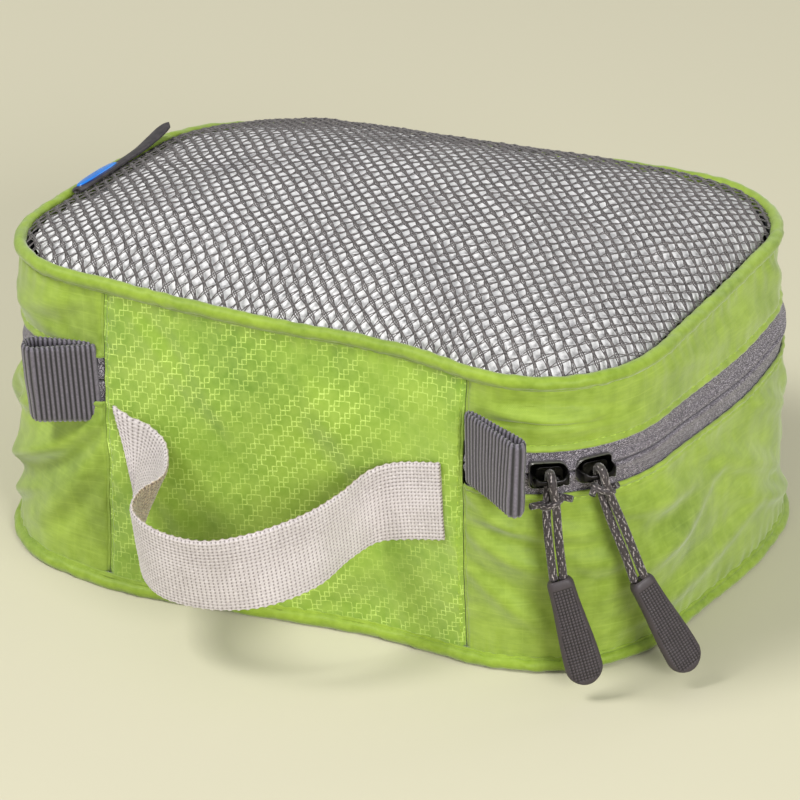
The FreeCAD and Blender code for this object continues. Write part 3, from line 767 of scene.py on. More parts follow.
M_BLUE = make_plain("tab_badge", (16, 96, 190), (34, 138, 226), 120.0, 0.25, 0.0, 0.5, rr=(0.18, 0.3), bump_s=0.08)
M_NAVY = make_plain("badge_edge", (18, 30, 70), (30, 44, 92), 160.0, 0.3, 0.0, 0.5, bump_s=0.08)


# ------------------------------------------------------------------ pieces swept along the outline
def cut(name, s, off, z, wr, mat, closed=False, v=None, nudge=None, extra=None):
    """A closed profile (off, z; mm) swept along s. wr says how much each profile point follows the wrinkles."""
    s = np.asarray(s, float)
    off, z, wr = (np.broadcast_to(np.asarray(k, float), np.shape(off)) for k in (off, z, wr))
    S = np.broadcast_to(s[:, None], (len(s), len(off)))
    O = np.broadcast_to(off, S.shape).copy()
    Z = np.broadcast_to(z, S.shape).copy()
    if nudge is not None:
        dO, dZ = nudge(S, O, Z)
        O, Z = O + dO, Z + dZ
    W = np.broadcast_to(wr, S.shape).ravel()
    P = soft(S, O, Z, W)
    nk = len(off)
    faces = grid_quads(len(s), nk, wrap_u=closed, wrap_v=True).tolist()
    if not closed:
        faces += [list(range(nk)), list(range((len(s) - 1) * nk, len(s) * nk))[::-1]]
    vv = np.cumsum(np.hypot(np.diff(off, prepend=off[0]), np.diff(z, prepend=z[0]))) if v is None else np.asarray(v, float)
    uv = np.stack([S, np.broadcast_to(vv, S.shape)], -1).reshape(-1, 2)
    attrs = {k: f(S, O, Z).ravel() for k, f in (extra or {}).items()}
    return build(name, P.reshape(-1, 3), faces, mat, uv=uv, attrs=attrs)


def s_steps(a, b, step, dense=(), dense_step=0.3, reach=2.5):
    """Lengths from a to b, about step apart, closer near the places in dense."""
    out = [np.linspace(a, b, max(2, int(round((b - a) / step)) + 1))]
    for d in dense:
        out.append(np.clip(np.arange(d - reach, d + reach + 0.01, dense_step), a, b))
    return np.unique(np.concatenate(out).round(3))


def wall_profile(z0, z1, step, top_hem=False, bottom_hem=False, thick=0.75):
    """Outer face upwards, inner face down; a turned hem is a rounded edge, sewn down by a row 1.6 mm in."""
    zo = np.linspace(z0, z1, int((z1 - z0) / step) + 1)
    oo = np.zeros(len(zo))
    if top_hem:
        zo = np.concatenate([zo[zo < z1 - 3.2], z1 - np.array([3.1, 2.7, 2.3, 2.0, 1.7, 1.4, 1.0, 0.6, 0.25, 0.0, 0.05, 0.35])])
        oo = np.where(zo > z1 - 3.2, 0, 0).astype(float)
        oo[-12:] = [0.02, -0.02, -0.12, -0.25, -0.12, 0.1, 0.3, 0.36, 0.25, 0.0, -0.4, -0.75]
    if bottom_hem:
        zz = z0 + np.array([0.35, 0.05, 0.0, 0.25, 0.6, 1.0, 1.4, 1.7, 2.0, 2.3, 2.7, 3.1])
        zo = np.concatenate([zz, zo[zo > z0 + 3.2]])
        oo = np.concatenate([[-0.75, -0.4, 0.0, 0.25, 0.36, 0.3, 0.1, -0.12, -0.25, -0.12, -0.02, 0.02], oo[len(oo) - len(zo) + 12:]])
    zi = np.linspace(z1 - (0.7 if top_hem else 0.0), z0 + (0.7 if bottom_hem else 0.0), max(3, int((z1 - z0) / 3.0)))
    z = np.concatenate([zo, zi])
    off = np.concatenate([oo, np.full(len(zi), -thick)])
    return off, z, np.concatenate([zo, zi + 300.0])


def groove(S, O, Z):
    return seam_groove(S) * (O > -0.7), np.zeros_like(Z)


S_WALL = s_steps(SEAM_R + 0.15, SEAM_L - 0.15, 1.05, (SEAM_R, SEAM_L), 0.35, 2.4)
off, z, v = wall_profile(3.9, 59.5, 1.05, top_hem=True)
wall_base = cut("wall_base", S_WALL, off, z, 1.0, M_SIDE, v=v, nudge=groove)
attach(wall_base, "base"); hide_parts("base_side_band")
off, z, v = wall_profile(72.5, 92.0, 0.9, bottom_hem=True)
wall_lid = cut("wall_lid", S_WALL, off, z, 1.0, M_SIDE, v=v, nudge=groove)
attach(wall_lid, "lid"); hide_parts("lid_side_band")
S_FRONT = s_steps(-58.9, 58.9, 1.0, (-58.9, 58.9), 0.35, 2.4)
off, z, v = wall_profile(3.9, 92.0, 0.95)
front_cloth = cut("front_panel", S_FRONT, off, z, 1.0, M_FRONT, v=v, nudge=groove)
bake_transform(front_cloth)
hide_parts("front_panel_lower", "front_panel_upper")

# piping
S_ALL = np.linspace(0, PER, 700, endpoint=False)
_t = np.linspace(0, 2 * np.pi, 16, endpoint=False)


def piping(name, z0, body, nodes_cover, nodes_core, flip):
    def pucker(S, O, Z):
        q = np.column_stack([S.ravel() / 3.2 + 0.8 * np.arctan2(Z - z0, O - 0.3).ravel(), Z.ravel() * 0 + z0, O.ravel() * 0])
        k = (0.10 * vnoise(q) + 0.05 * vnoise(q * 2.7 + 3)).reshape(S.shape)
        wob = 0.35 * vnoise(np.column_stack([S.ravel() / 22, np.full(S.size, z0), np.zeros(S.size)])).reshape(S.shape)
        return (O - 0.3) * k + wob * 0.5, (Z - z0) * k + wob * 0.6
    cover = cut(name + "_cover", S_ALL, 0.3 + 1.9 * np.cos(_t), z0 + 1.9 * np.sin(_t), 0.0, M_PIPE, closed=True,
                v=_t * 1.9, nudge=pucker)
    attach(cover, body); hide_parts(nodes_cover)
    core = cut(name + "_core", S_ALL[::2], 0.3 + 1.2 * np.cos(_t[::2]), z0 + 1.2 * np.sin(_t[::2]), 0.0, M_CORE, closed=True)
    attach(core, body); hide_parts(nodes_core)
    # the flat edge of the piping, sewn to the wall beside it
    up = 1 if z0 < 50 else -1
    zz = z0 + up * np.array([1.55, 1.9, 2.3, 2.7])
    oo = np.array([0.75, 0.42, 0.22, 0.08])
    z2 = np.concatenate([zz, zz[::-1]]); o2 = np.concatenate([oo, oo[::-1] - 0.7])
    if up < 0:
        z2, o2 = z2[::-1], o2[::-1]
    flange = cut(name + "_flange", S_ALL, o2, z2, 0.0, M_PIPE, closed=True)
    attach(flange, body)


piping("bottom_piping", 1.9, "base", "bottom_piping_cover", "bottom_piping_cord", False)
piping("top_piping", 94.0, "lid", "top_piping_cover", "top_piping_cord", True)

# bindings inside
def strip_in(name, s, off_a, off_b, z0, z1, mat, body, nodes, closed=False, wr=0.0):
    zz = np.linspace(z0, z1, 6)
    off = np.concatenate([np.full(6, off_b), np.full(6, off_a)])
    z = np.concatenate([zz, zz[::-1]])
    o = cut(name, s, off, z, wr, mat, closed=closed)
    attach(o, body)
    for n in nodes:
        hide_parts(n)
    return o


strip_in("bottom_binding", S_ALL[::2], -2.35, -1.75, 1.2, 10, M_BIND, "base", ["bottom_seam_binding"], True)
strip_in("top_binding", S_ALL[::2], -1.9, -1.2, 84, 91.4, M_BIND, "lid", ["top_seam_binding"], True, 0.8)
for tag, body, z0, z1, node in (("lower", "base", 10.4, 56.1, "front_seam_bindings_lower"), ("upper", "lid", 75.9, 83.6, "front_seam_bindings_upper")):
    for side, c in (("r", 59.0), ("l", -59.0)):
        strip_in(f"seam_binding_{tag}_{side}", np.linspace(c - 4, c + 4, 9), -2.2, -1.6, z0, z1, M_BIND, body, [node], False, 1.0)

# zipper: woven tapes, bulging where the reversed coil lies behind them
S_TAPE = s_steps(59.3, PER - 59.3, 1.2)


def tape_ends(S, O, Z):
    e = np.minimum(S, PER - S) - 59.3
    return -1.3 * np.exp(-(e / 2.2) ** 2), np.zeros_like(Z)


z_lo = np.array([56.5, 58, 59.5, 60.5, 61.5, 62.5, 63.2, 63.8, 64.4, 64.9, 65.35, 65.65, 65.72])
o_lo = np.array([-0.95, -0.95, -0.9, -0.7, -0.55, -0.45, -0.25, 0.1, 0.42, 0.55, 0.45, 0.1, -0.5])
off = np.concatenate([o_lo, [-1.1, -1.4, -1.5, -1.5]])
z = np.concatenate([z_lo, [65.65, 64.5, 60.0, 56.5]])
tape_lo = cut("zipper_tape_lower", S_TAPE, off, z, 0.15, M_TAPE, v=z, nudge=tape_ends)
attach(tape_lo, "base"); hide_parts("zipper_tape_lower")
tape_hi = cut("zipper_tape_upper", S_TAPE, off[::-1], (132.0 - z)[::-1], 0.15, M_TAPE, v=(132.0 - z)[::-1], nudge=tape_ends)
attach(tape_hi, "lid"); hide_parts("zipper_tape_upper")


def coil(name, z0, z1, body, node):
    """Teeth of the reversed coil: flattened turns side by side."""
    n = int((PER - 2 * 59) / 1.15)
    sc = np.linspace(59.4, PER - 59.4, n)
    th = np.linspace(0, 2 * np.pi, 9)[:-1]
    parts = []
    zc, hz = (z0 + z1) / 2, (z1 - z0) / 2 - 0.25
    ring = []
    for t in th:
        ring.append((-2.5 + 0.62 * math.sin(t), zc + hz * math.cos(t)))
    ring = np.array(ring)
    # each turn: a closed loop tube of 4 sides
    nn = len(th)
    k4 = np.linspace(0, 2 * np.pi, 5)[:-1] + 0.4
    cs, co, cz = [], [], []
    for j in range(nn):
        dirv = np.array([math.sin(th[j]), math.cos(th[j])])
        for q in k4:
            cs.append(0.34 * math.cos(q))
            co.append(ring[j, 0] + 0.24 * math.sin(q) * dirv[0])
            cz.append(ring[j, 1] + 0.24 * math.sin(q) * dirv[1])
    cs, co, cz = np.array(cs), np.array(co), np.array(cz)
    S = sc[:, None] + cs[None]
    P = soft(S, np.broadcast_to(co, S.shape), np.broadcast_to(cz, S.shape))
    base_faces = grid_quads(nn, 4, wrap_u=True, wrap_v=True)
    faces = (base_faces[None] + (np.arange(n) * nn * 4)[:, None, None]).reshape(-1, 4)
    o = build(name, P.reshape(-1, 3), faces.tolist(), M_COIL, uv=np.zeros((n * nn * 4, 2)))
    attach(o, body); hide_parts(node)


coil("zipper_coil_lower", 63.4, 65.7, "base", "zipper_coil_lower")
coil("zipper_coil_upper", 66.3, 68.6, "lid", "zipper_coil_upper")
strip_in("zipper_end_stops", np.linspace(56.6, 58.7, 4), -3.2, -1.7, 62.9, 65.6, M_COIL, "base", ["zipper_end_stops"])
strip_in("zipper_end_stop_left", np.linspace(-58.7, -56.6, 4), -3.2, -1.7, 62.9, 65.6, M_COIL, "base", ["zipper_end_stops"])

# bottom panel
def bottom_panel():
    s = np.linspace(0, PER, 240, endpoint=False)
    rim = soft(s, -0.35, 1.0)
    ks = np.linspace(0.04, 1.0, 26)
    c = np.array([0.0, 0.0, 0.0])
    rings = []
    for zz in (0.75, 0.05):
        P = rim[None] * ks[:, None, None]
        P[..., 2] = zz
        if zz < 0.5:
            q = P.reshape(-1, 3) / np.array([22, 22, 1])
            P[..., 2] += (0.12 + 0.12 * fnoise(q, 2)).reshape(P.shape[:2])
        rings.append(P)
    top, bot = rings
    co = np.concatenate([top.reshape(-1, 3), bot.reshape(-1, 3)])
    nr, ns = len(ks), len(s)
    f = grid_quads(nr, ns, wrap_v=True).tolist()                       # ring index grows outwards
    f += grid_quads(nr, ns, wrap_v=True, base=nr * ns, flip=True).tolist()
    f += [list(range(ns)), list(range(nr * ns, nr * ns + ns))[::-1]]
    for j in range(ns):
        k = (j + 1) % ns
        a, b = (nr - 1) * ns + j, (nr - 1) * ns + k
        f.append([a, a + nr * ns, b + nr * ns, b])
    o = build("bottom_cloth", co, f, M_SIDE, uv=co[:, :2])
    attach(o, "base"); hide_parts("bottom_panel")


bottom_panel()


# ------------------------------------------------------------------ sewing
def stitch_row(P, N, length=2.2, gap=0.75, r=0.2, lift=0.05, sides=6):
    """Stitches along a polyline P with normals N (mm): short capsules that sink at both ends."""
    seg = np.linalg.norm(np.diff(P, axis=0), axis=1)
    L = np.concatenate([[0], np.cumsum(seg)])
    starts = np.arange(0.4, L[-1] - length, length + gap)
    parts = []
    for a in starts:
        u = np.linspace(a, a + length, 6)
        q = np.stack([np.interp(u, L, P[:, k]) for k in range(3)], 1)
        n = np.stack([np.interp(u, L, N[:, k]) for k in range(3)], 1)
        w = np.sin(np.pi * np.linspace(0.04, 0.96, 6))
        q = q + n * (lift - 0.36 * (1 - w ** 0.5))[:, None]
        parts.append(tube_mesh(q, r * (0.75 + 0.25 * w), sides))
    return join_parts(parts)


def stitch_piece(name, rows, mat):
    co, f = join_parts(rows)
    o = build(name, co, f, mat, uv=np.zeros((len(co), 2)))
    return o


def on_wall(s, z, off=0.0, d=0.6):
    """Surface points and outward normals of the wrinkled wall along (s, z) polylines."""
    s, z = np.broadcast_arrays(np.asarray(s, float), np.asarray(z, float))
    one = np.ones(s.size)
    g = seam_groove(s)
    P = soft(s, g + off, z, one)
    a = soft(s + d, g + off, z, one) - soft(s - d, g + off, z, one)
    b = soft(s, g + off, z + d, one) - soft(s, g + off, z - d, one)
    n = np.cross(a, b)
    return P, n / np.linalg.norm(n, axis=-1)[..., None]


sew = []
ss = np.arange(60.2, PER - 60.2, 0.8)
P, N = on_wall(ss, 57.5, -0.25)
st = stitch_piece("stitches_below_zipper", [stitch_row(P, N)], M_THREAD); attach(st, "base")
P, N = on_wall(ss, 74.5, -0.25)
st = stitch_piece("stitches_above_zipper", [stitch_row(P, N)], M_THREAD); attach(st, "lid")
rows = []
zz = np.arange(5.5, 91.5, 0.8)
for s0 in (SEAM_R - 1.7, SEAM_L + 1.7):
    P, N = on_wall(s0, zz)
    rows.append(stitch_row(P, N, 2.0, 0.7, 0.17, -0.02))
st = stitch_piece("stitches_front_seams", rows, M_THREAD)
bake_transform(st)


# ------------------------------------------------------------------ sliders, cords and grips
CX, CY, CR, ZIPZ = 54.0, -29.0, 46.0, 66.0


def loc(at, t, n, dz):
    """Point (mm) at t along the wall, n out from the zipper's face and dz above the chain, at the corner angle at (degrees)."""
    a = math.radians(at)
    t, n, dz = np.broadcast_arrays(np.asarray(t, float), np.asarray(n, float), np.asarray(dz, float))
    return np.stack([CX + (CR + n) * math.cos(a) - t * math.sin(a), CY + (CR + n) * math.sin(a) + t * math.cos(a), ZIPZ + dz], -1)


def smooth_curve(pts, per=10, closed=False):
    """Catmull-Rom through pts."""
    P = np.asarray(pts, float)
    n = len(P)
    out = []
    for i in range(n if closed else n - 1):
        if closed:
            p0, p1, p2, p3 = P[(i - 1) % n], P[i], P[(i + 1) % n], P[(i + 2) % n]
        else:
            p0, p1, p2, p3 = P[max(i - 1, 0)], P[i], P[i + 1], P[min(i + 2, n - 1)]
        for t in np.linspace(0, 1, per, endpoint=False):
            out.append(0.5 * (2 * p1 + (p2 - p0) * t + (2 * p0 - 5 * p1 + 4 * p2 - p3) * t * t + (3 * p1 - p0 - 3 * p2 + p3) * t ** 3))
    if not closed:
        out.append(P[-1])
    return np.array(out)


def slab(outline, n0, n1, at, bevel=0.35, curve=46.0, rows=3):
    """A plate with rounded edges: an outline in (t, dz) between n0 and n1, bent to the corner's curve."""
    O = np.asarray(outline, float)
    c = O.mean(0)
    ring = []
    ts = []
    for k, (ins, n) in enumerate([(bevel, n0), (bevel * 0.3, n0 + bevel * 0.3), (0, n0 + bevel), (0, n1 - bevel), (bevel * 0.3, n1 - bevel * 0.3), (bevel, n1)]):
        d = O - c
        L = np.linalg.norm(d, axis=1)[:, None]
        Q = O - d / np.maximum(L, 1e-6) * ins
        drop = (curve - np.sqrt(np.maximum(curve ** 2 - Q[:, 0] ** 2, 0)))
        ring.append(loc(at, Q[:, 0], n - drop, Q[:, 1]))
        ts.append(1.0 if 0 < k < 5 else 0.0)
    P = np.concatenate(ring)
    m = len(O)
    f = grid_quads(6, m, wrap_v=True, flip=True).tolist()
    f += [list(range(m)), list(range(5 * m, 6 * m))[::-1]]
    return P, f, np.repeat(ts, m)


def rounded(w0, w1, h0, h1, r, n=5):
    """Rounded rectangle outline, counter-clockwise in (t, dz); r is one radius or four (from the lower right)."""
    rr = [r] * 4 if np.ndim(r) == 0 else r
    out = []
    for (cx, cy, a0), q in zip(((w1, h0, -90), (w1, h1, 0), (w0, h1, 90), (w0, h0, 180)), rr):
        sx, sy = (1 if cx == w1 else -1), (1 if cy == h1 else -1)
        for k in range(n + 1):
            a = math.radians(a0 + 90 * k / n)
            out.append((cx - sx * q + q * math.cos(a), cy - sy * q + q * math.sin(a)))
    return out


def slider_piece(name, at, radii, node):
    parts, edge = [], []

    def add(pf, e):
        parts.append(pf)
        edge.append(np.full(len(pf[0]), e) if np.ndim(e) == 0 else e)

    # front plate with a raised rim whose bevel is painted near white, a painted highlight
    P, f, ts = slab(rounded(-5.5, 5.5, -4.0, 4.0, radii), -0.5, 1.15, at, 0.35)
    add((P, f), 0.42 * ts)
    P, f, ts = slab(rounded(-3.9, 3.9, -2.7, 2.7, 1.6), 1.0, 1.35, at, 0.2)
    add((P, f), 0.0)
    # back plate and neck
    P, f, ts = slab(rounded(-5.0, 5.0, -3.8, 3.8, 2.2), -5.0, -3.9, at, 0.3)
    add((P, f), 0.0)
    P, f, ts = slab(rounded(-2.6, 2.6, -0.24, 0.24, 0.2, 2), -4.1, -0.3, at, 0.1)
    add((P, f), 0.0)
    # the arch that carries the cord: a flat band bent over the plate
    arch = smooth_curve([(-5.0, 0.6), (-5.05, 2.4), (-4.6, 4.2), (-3.3, 5.0), (-1.2, 5.3), (1.2, 5.3), (3.3, 5.0), (4.6, 4.2), (5.05, 2.4), (5.0, 0.6)], 6)
    d = np.gradient(arch, axis=0)
    d /= np.linalg.norm(d, axis=1)[:, None]
    nrm = np.stack([-d[:, 1], d[:, 0]], 1)
    hw = 0.72 + 0.75 * smooth01((np.abs(arch[:, 0]) - 2.9) / 1.8)
    sec = [(-1, -0.28), (-0.86, -0.42), (0.86, -0.42), (1, -0.28), (1, 0.28), (0.86, 0.42), (-0.86, 0.42), (-1, 0.28)]
    Q, ee = [], []
    for i in range(len(arch)):
        for a, b in sec:
            q = arch[i] + nrm[i] * b
            Q.append(loc(at, q[0], q[1], a * hw[i]))
            ee.append(0.0)
    m = len(sec)
    add((np.array(Q), grid_quads(len(arch), m, wrap_v=True).tolist() + [list(range(m)), list(range((len(arch) - 1) * m, len(arch) * m))[::-1]]), np.array(ee))
    co, f = join_parts(parts)
    o = build(name, co, f, M_METAL, uv=np.zeros((len(co), 2)), attrs={"edge": np.concatenate(edge)})
    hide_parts(node)
    return o


slider_l = slider_piece("slider_left_metal", -52.5, [3.2, 3.2, 1.4, 1.4], "slider_left")
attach(slider_l, "slider_left")
slider_r = slider_piece("slider_right_metal", -36.5, [1.4, 1.4, 3.2, 3.2], "slider_right")
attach(slider_r, "slider_right")

ROUTE_L = [(87.78, -72.28, 37.5), (86.64, -72.02, 44.0), (85.57, -71.71, 50.0), (84.67, -71.27, 55.5), (83.81, -69.65, 61.0),
           (83.35, -67.74, 65.2), (83.53, -67.98, 67.8), (84.81, -69.64, 68.8), (86.11, -71.17, 67.8), (86.53, -71.22, 65.1),
           (87.14, -70.63, 60.8), (87.5, -70.35, 55.5), (87.98, -70.24, 50.0), (88.92, -70.4, 44.0), (89.96, -70.61, 37.9)]
ROUTE_R = [(104.52, -56.03, 33.7), (102.7, -56.83, 40.0), (100.43, -57.88, 46.5), (97.71, -58.86, 53.5), (94.91, -58.78, 60.5),
           (93.07, -57.91, 65.2), (93.19, -58.25, 67.8), (94.82, -59.58, 68.8), (96.49, -60.69, 67.8), (96.96, -60.54, 65.1),
           (98.28, -59.27, 60.0), (100.47, -57.66, 53.5), (102.94, -56.5, 46.5), (105.21, -55.45, 40.0), (106.98, -54.58, 34.9)]
CORD_D = 2.3


def route_line(name, pts):
    """The NURBS line through the route's control points, as its own sampled points in mm."""
    cu = bpy.data.curves.new(name, "CURVE")
    cu.dimensions = "3D"
    cu.resolution_u = 14
    sp = cu.splines.new("NURBS")
    sp.points.add(len(pts) - 1)
    for k, p in enumerate(pts):
        sp.points[k].co = (p[0] * MM, p[1] * MM, p[2] * MM, 1.0)
    sp.order_u = 3
    sp.use_endpoint_u = True
    ob = bpy.data.objects.new(name, cu)
    scene.collection.objects.link(ob)
    bpy.context.view_layer.update()
    me = bpy.data.meshes.new_from_object(ob)
    P = np.array([v.co[:] for v in me.vertices]) / MM
    # the mesh of a line keeps its order
    bpy.data.meshes.remove(me)
    bpy.data.objects.remove(ob)
    bpy.data.curves.remove(cu)
    keep = np.concatenate([[True], np.linalg.norm(np.diff(P, axis=0), axis=1) > 1e-4])
    return P[keep]


def resample(P, step):
    seg = np.linalg.norm(np.diff(P, axis=0), axis=1)
    L = np.concatenate([[0], np.cumsum(seg)])
    u = np.linspace(0, L[-1], int(L[-1] / step) + 1)
    return np.stack([np.interp(u, L, P[:, k]) for k in range(3)], 1), u


def braid(P, diameter, step=0.24, sides=32, carriers=8, pitch=6.4, seed=0):
    """A round braided cord along P: points, faces and the two attributes of its colour: the pale yarns, and the yarns'
    height, from which the material paints highlight on the crests and shade in the grooves.
    """
    Q, u = resample(P, step)
    th = np.linspace(0, 2 * np.pi, sides, endpoint=False)
    U, T = np.meshgrid(u, th, indexing="ij")
    a = (T * carriers / (2 * np.pi) + U * carriers / (2 * pitch * 2)) * 2
    b = (T * carriers / (2 * np.pi) - U * carriers / (2 * pitch * 2)) * 2
    fa, fb = a - np.floor(a) - 0.5, b - np.floor(b) - 0.5
    par = (np.floor(a) + np.floor(b)) % 2
    ha = np.sqrt(np.clip(np.cos(np.pi * fa), 0, 1)) * (0.55 + 0.45 * np.cos(np.pi * fb))
    hb = np.sqrt(np.clip(np.cos(np.pi * fb), 0, 1)) * (0.55 + 0.45 * np.cos(np.pi * fa))
    h = np.where(par < 0.5, ha, hb)
    R = diameter / 2 * (0.86 + 0.20 * h)
    co, f = tube_mesh(Q, 1.0, sides, True, radial=R)
    pale_a = (np.floor(a).astype(int) % 3 == seed % 2).astype(float)
    pale_b = (np.floor(b).astype(int) % 4 == 1).astype(float)
    fleck = np.where(par < 0.5, pale_a, pale_b) * smooth01((h - 0.45) / 0.25)
    return co, f, fleck.ravel(), h.ravel(), Q


def grip_mesh(top, end, across, width=(7.6, 10.6), thick=4.4, pitch=0.92):
    """A flat moulded grip, domed edges, a fine grid of squares on both faces inside a smooth rim."""
    top, end = np.asarray(top, float), np.asarray(end, float)
    ax = end - top
    L = np.linalg.norm(ax)
    ax /= L
    across = across - ax * (across @ ax)
    across /= np.linalg.norm(across)
    face = np.cross(ax, across)
    u = np.concatenate([np.linspace(0, 1.2, 7), np.arange(1.4, L - 2.4, 0.22), L - 2.4 * (1 - np.sin(np.linspace(0, 1, 16) * np.pi / 2))])
    u = np.unique(u.round(4))
    # share of the half width and which face, going round: the front face, then the back
    xs = np.concatenate([np.linspace(-1, -0.86, 7), np.linspace(-0.86, 0.86, 48)[1:-1], np.linspace(0.86, 1, 7)])
    m = 2 * len(xs) - 2
    share = np.concatenate([xs, xs[::-1][1:-1]])
    face_s = np.concatenate([np.ones(len(xs)), -np.ones(len(xs) - 2)])
    co, cell, uvs = [], [], []
    for x in u:
        k = smooth01((x - 2) / (L - 8))
        hw = (width[0] + (width[1] - width[0]) * k) / 2
        ht = thick / 2 * (1.0 - 0.10 * k)
        # shoulders at the top, round end
        if x < 2.2:
            q = math.sqrt(max(0.0, 1 - ((2.2 - x) / 2.2) ** 2))
            hw = hw * (0.62 + 0.38 * q)
            ht = ht * (0.72 + 0.28 * q)
        e = L - x
        if e < hw:
            q = math.sqrt(max(0.0, 1 - ((hw - e) / hw) ** 2))
            hw2 = hw * q
            ht = ht * (0.30 + 0.70 * math.sqrt(q))
            hw = max(hw2, 0.05)
        cx = share * hw
        cy = face_s * ht * (1 - np.abs(share) ** 5) ** 0.5
        # squares on the faces
        inn = smooth01((hw - 0.9 - np.abs(cx)) / 0.2) * smooth01((x - 2.4) / 0.5) * smooth01((L - 1.5 - x) / 0.6)
        gx = np.abs(((cx / pitch) % 1) - 0.5) * 2
        gu = np.abs(((x / pitch) % 1) - 0.5) * 2
        sq = smooth01((0.86 - np.maximum(gx, gu)) / 0.34)
        cy = cy + np.sign(cy) * inn * (0.20 * sq - 0.22)
        co.append(top + ax * x + across * cx[:, None] + face * cy[:, None])
        # height of the squares, which the material uses to paint shade in the grooves
        cell.append(np.where(inn > 0.5, sq, 0.75))
        uvs.append(np.stack([cx, np.full(m, x)], 1))
    co = np.concatenate(co)
    f = grid_quads(len(u), m, wrap_v=True, flip=True).tolist() + [list(range(m)), list(range((len(u) - 1) * m, len(u) * m))[::-1]]
    return co, f, np.concatenate(cell), np.concatenate(uvs)


def pull(tag, at, route, top, end, body, seed):
    P = route_line("route_" + tag, route)
    co, f, fleck, h, Q = braid(P, CORD_D, seed=seed)
    length = np.linalg.norm(np.diff(Q, axis=0), axis=1).sum()
    print("cord", tag, "length", round(length, 1))
    cordo = build("cord_" + tag, co, f, M_CORD, uv=np.zeros((len(co), 2)), attrs={"fleck": fleck, "top": h})
    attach(cordo, body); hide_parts("pull_cord_" + tag)
    a = math.radians(at)
    across = np.array([-math.sin(a), math.cos(a), 0.0])
    gc, gf, cell, guv = grip_mesh(loc(at, *top), loc(at, *end), across)
    g = build("grip_" + tag, gc, gf, M_GRIP, uv=guv, attrs={"cell": cell})
    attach(g, body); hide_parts("pull_grip_" + tag)
    return cordo, g, Q, length


cord_l, grip_l, QL, LEN_L = pull("left", -52.5, ROUTE_L, (1.9, 9.1, -28.2), (10.4, 12.6, -60.5), "pull_left", 1)
cord_r, grip_r, QR, LEN_R = pull("right", -36.5, ROUTE_R, (9.7, 11.3, -31.6), (23.5, 18.2, -60.4), "pull_right", 2)


def hitch(tag, centre, at, body, seed, tilt=0.12, hw=2.6, sticks=(3.4, 3.0), turns=1):
    """A short wrap of the same cord round both strands, its two ends sticking out."""
    parts, fl, tp = [], [], []
    c = np.asarray(centre, float)
    a = math.radians(at)
    tt, nn = np.array([-math.sin(a), math.cos(a), 0]), np.array([math.cos(a), math.sin(a), 0])
    for k in range(turns):
        th = np.linspace(-0.15 * np.pi, 1.15 * np.pi, 22)
        loop = [c + tt * (-(hw + sticks[0])) + nn * 0.9 + np.array([0, 0, -0.6 + 2.0 * k])]
        for q in th[::-1]:
            loop.append(c + tt * (hw * math.cos(q)) + nn * (1.9 * math.sin(q)) + np.array([0, 0, tilt * hw * math.cos(q) * 4 + 2.0 * k]))
        loop.append(c + tt * (hw + sticks[1]) + nn * 0.9 + np.array([0, 0, 0.9 + 2.0 * k]))
        P = smooth_curve(loop, 6)
        co, f, fleck, h, Q = braid(P, 1.9, 0.26, 24, 8, 5.6, seed + k)
        parts.append((co, f)); fl.append(fleck); tp.append(h)
    co, f = join_parts(parts)
    o = build("hitch_" + tag, co, f, M_CORD, uv=np.zeros((len(co), 2)), attrs={"fleck": np.concatenate(fl), "top": np.concatenate(tp)})
    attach(o, body)
    return o


hitch_l = hitch("left", loc(-52.5, 0.0, 6.1, -5.4), -52.5, "pull_left", 5)
hitch_r = hitch("right", loc(-36.5, 0.5, 6.1, -3.6), -36.5, "pull_right", 9, tilt=-0.1, hw=2.5, sticks=(1.6, 1.2))


# ------------------------------------------------------------------ grosgrain loops
def teardrop(root, ang, r0, r1, far, step=0.2):
    """Plan line of a ribbon folded over: from the root, out, round the fold and back (mm)."""
    root = np.array(root, float)
    d = np.array([math.cos(math.radians(ang)), math.sin(math.radians(ang))])
    p = np.array([-d[1], d[0]])
    c1 = root + d * far
    al = math.acos((r1 - r0) / far)
    pts = []
    for q in np.linspace(math.pi, al, 8):          # round the root, to the tangent
        pts.append(root + r0 * (math.cos(q) * d - math.sin(q) * p))
    for q in np.linspace(al, -al, 26):
        pts.append(c1 + r1 * (math.cos(q) * d - math.sin(q) * p))
    for q in np.linspace(-al, -math.pi, 8):
        pts.append(root + r0 * (math.cos(q) * d - math.sin(q) * p))
    P = np.array(pts)
    seg = np.linalg.norm(np.diff(P, axis=0), axis=1)
    L = np.concatenate([[0], np.cumsum(seg)])
    u = np.arange(0, L[-1], step)
    return np.stack([np.interp(u, L, P[:, k]) for k in range(2)], 1), u


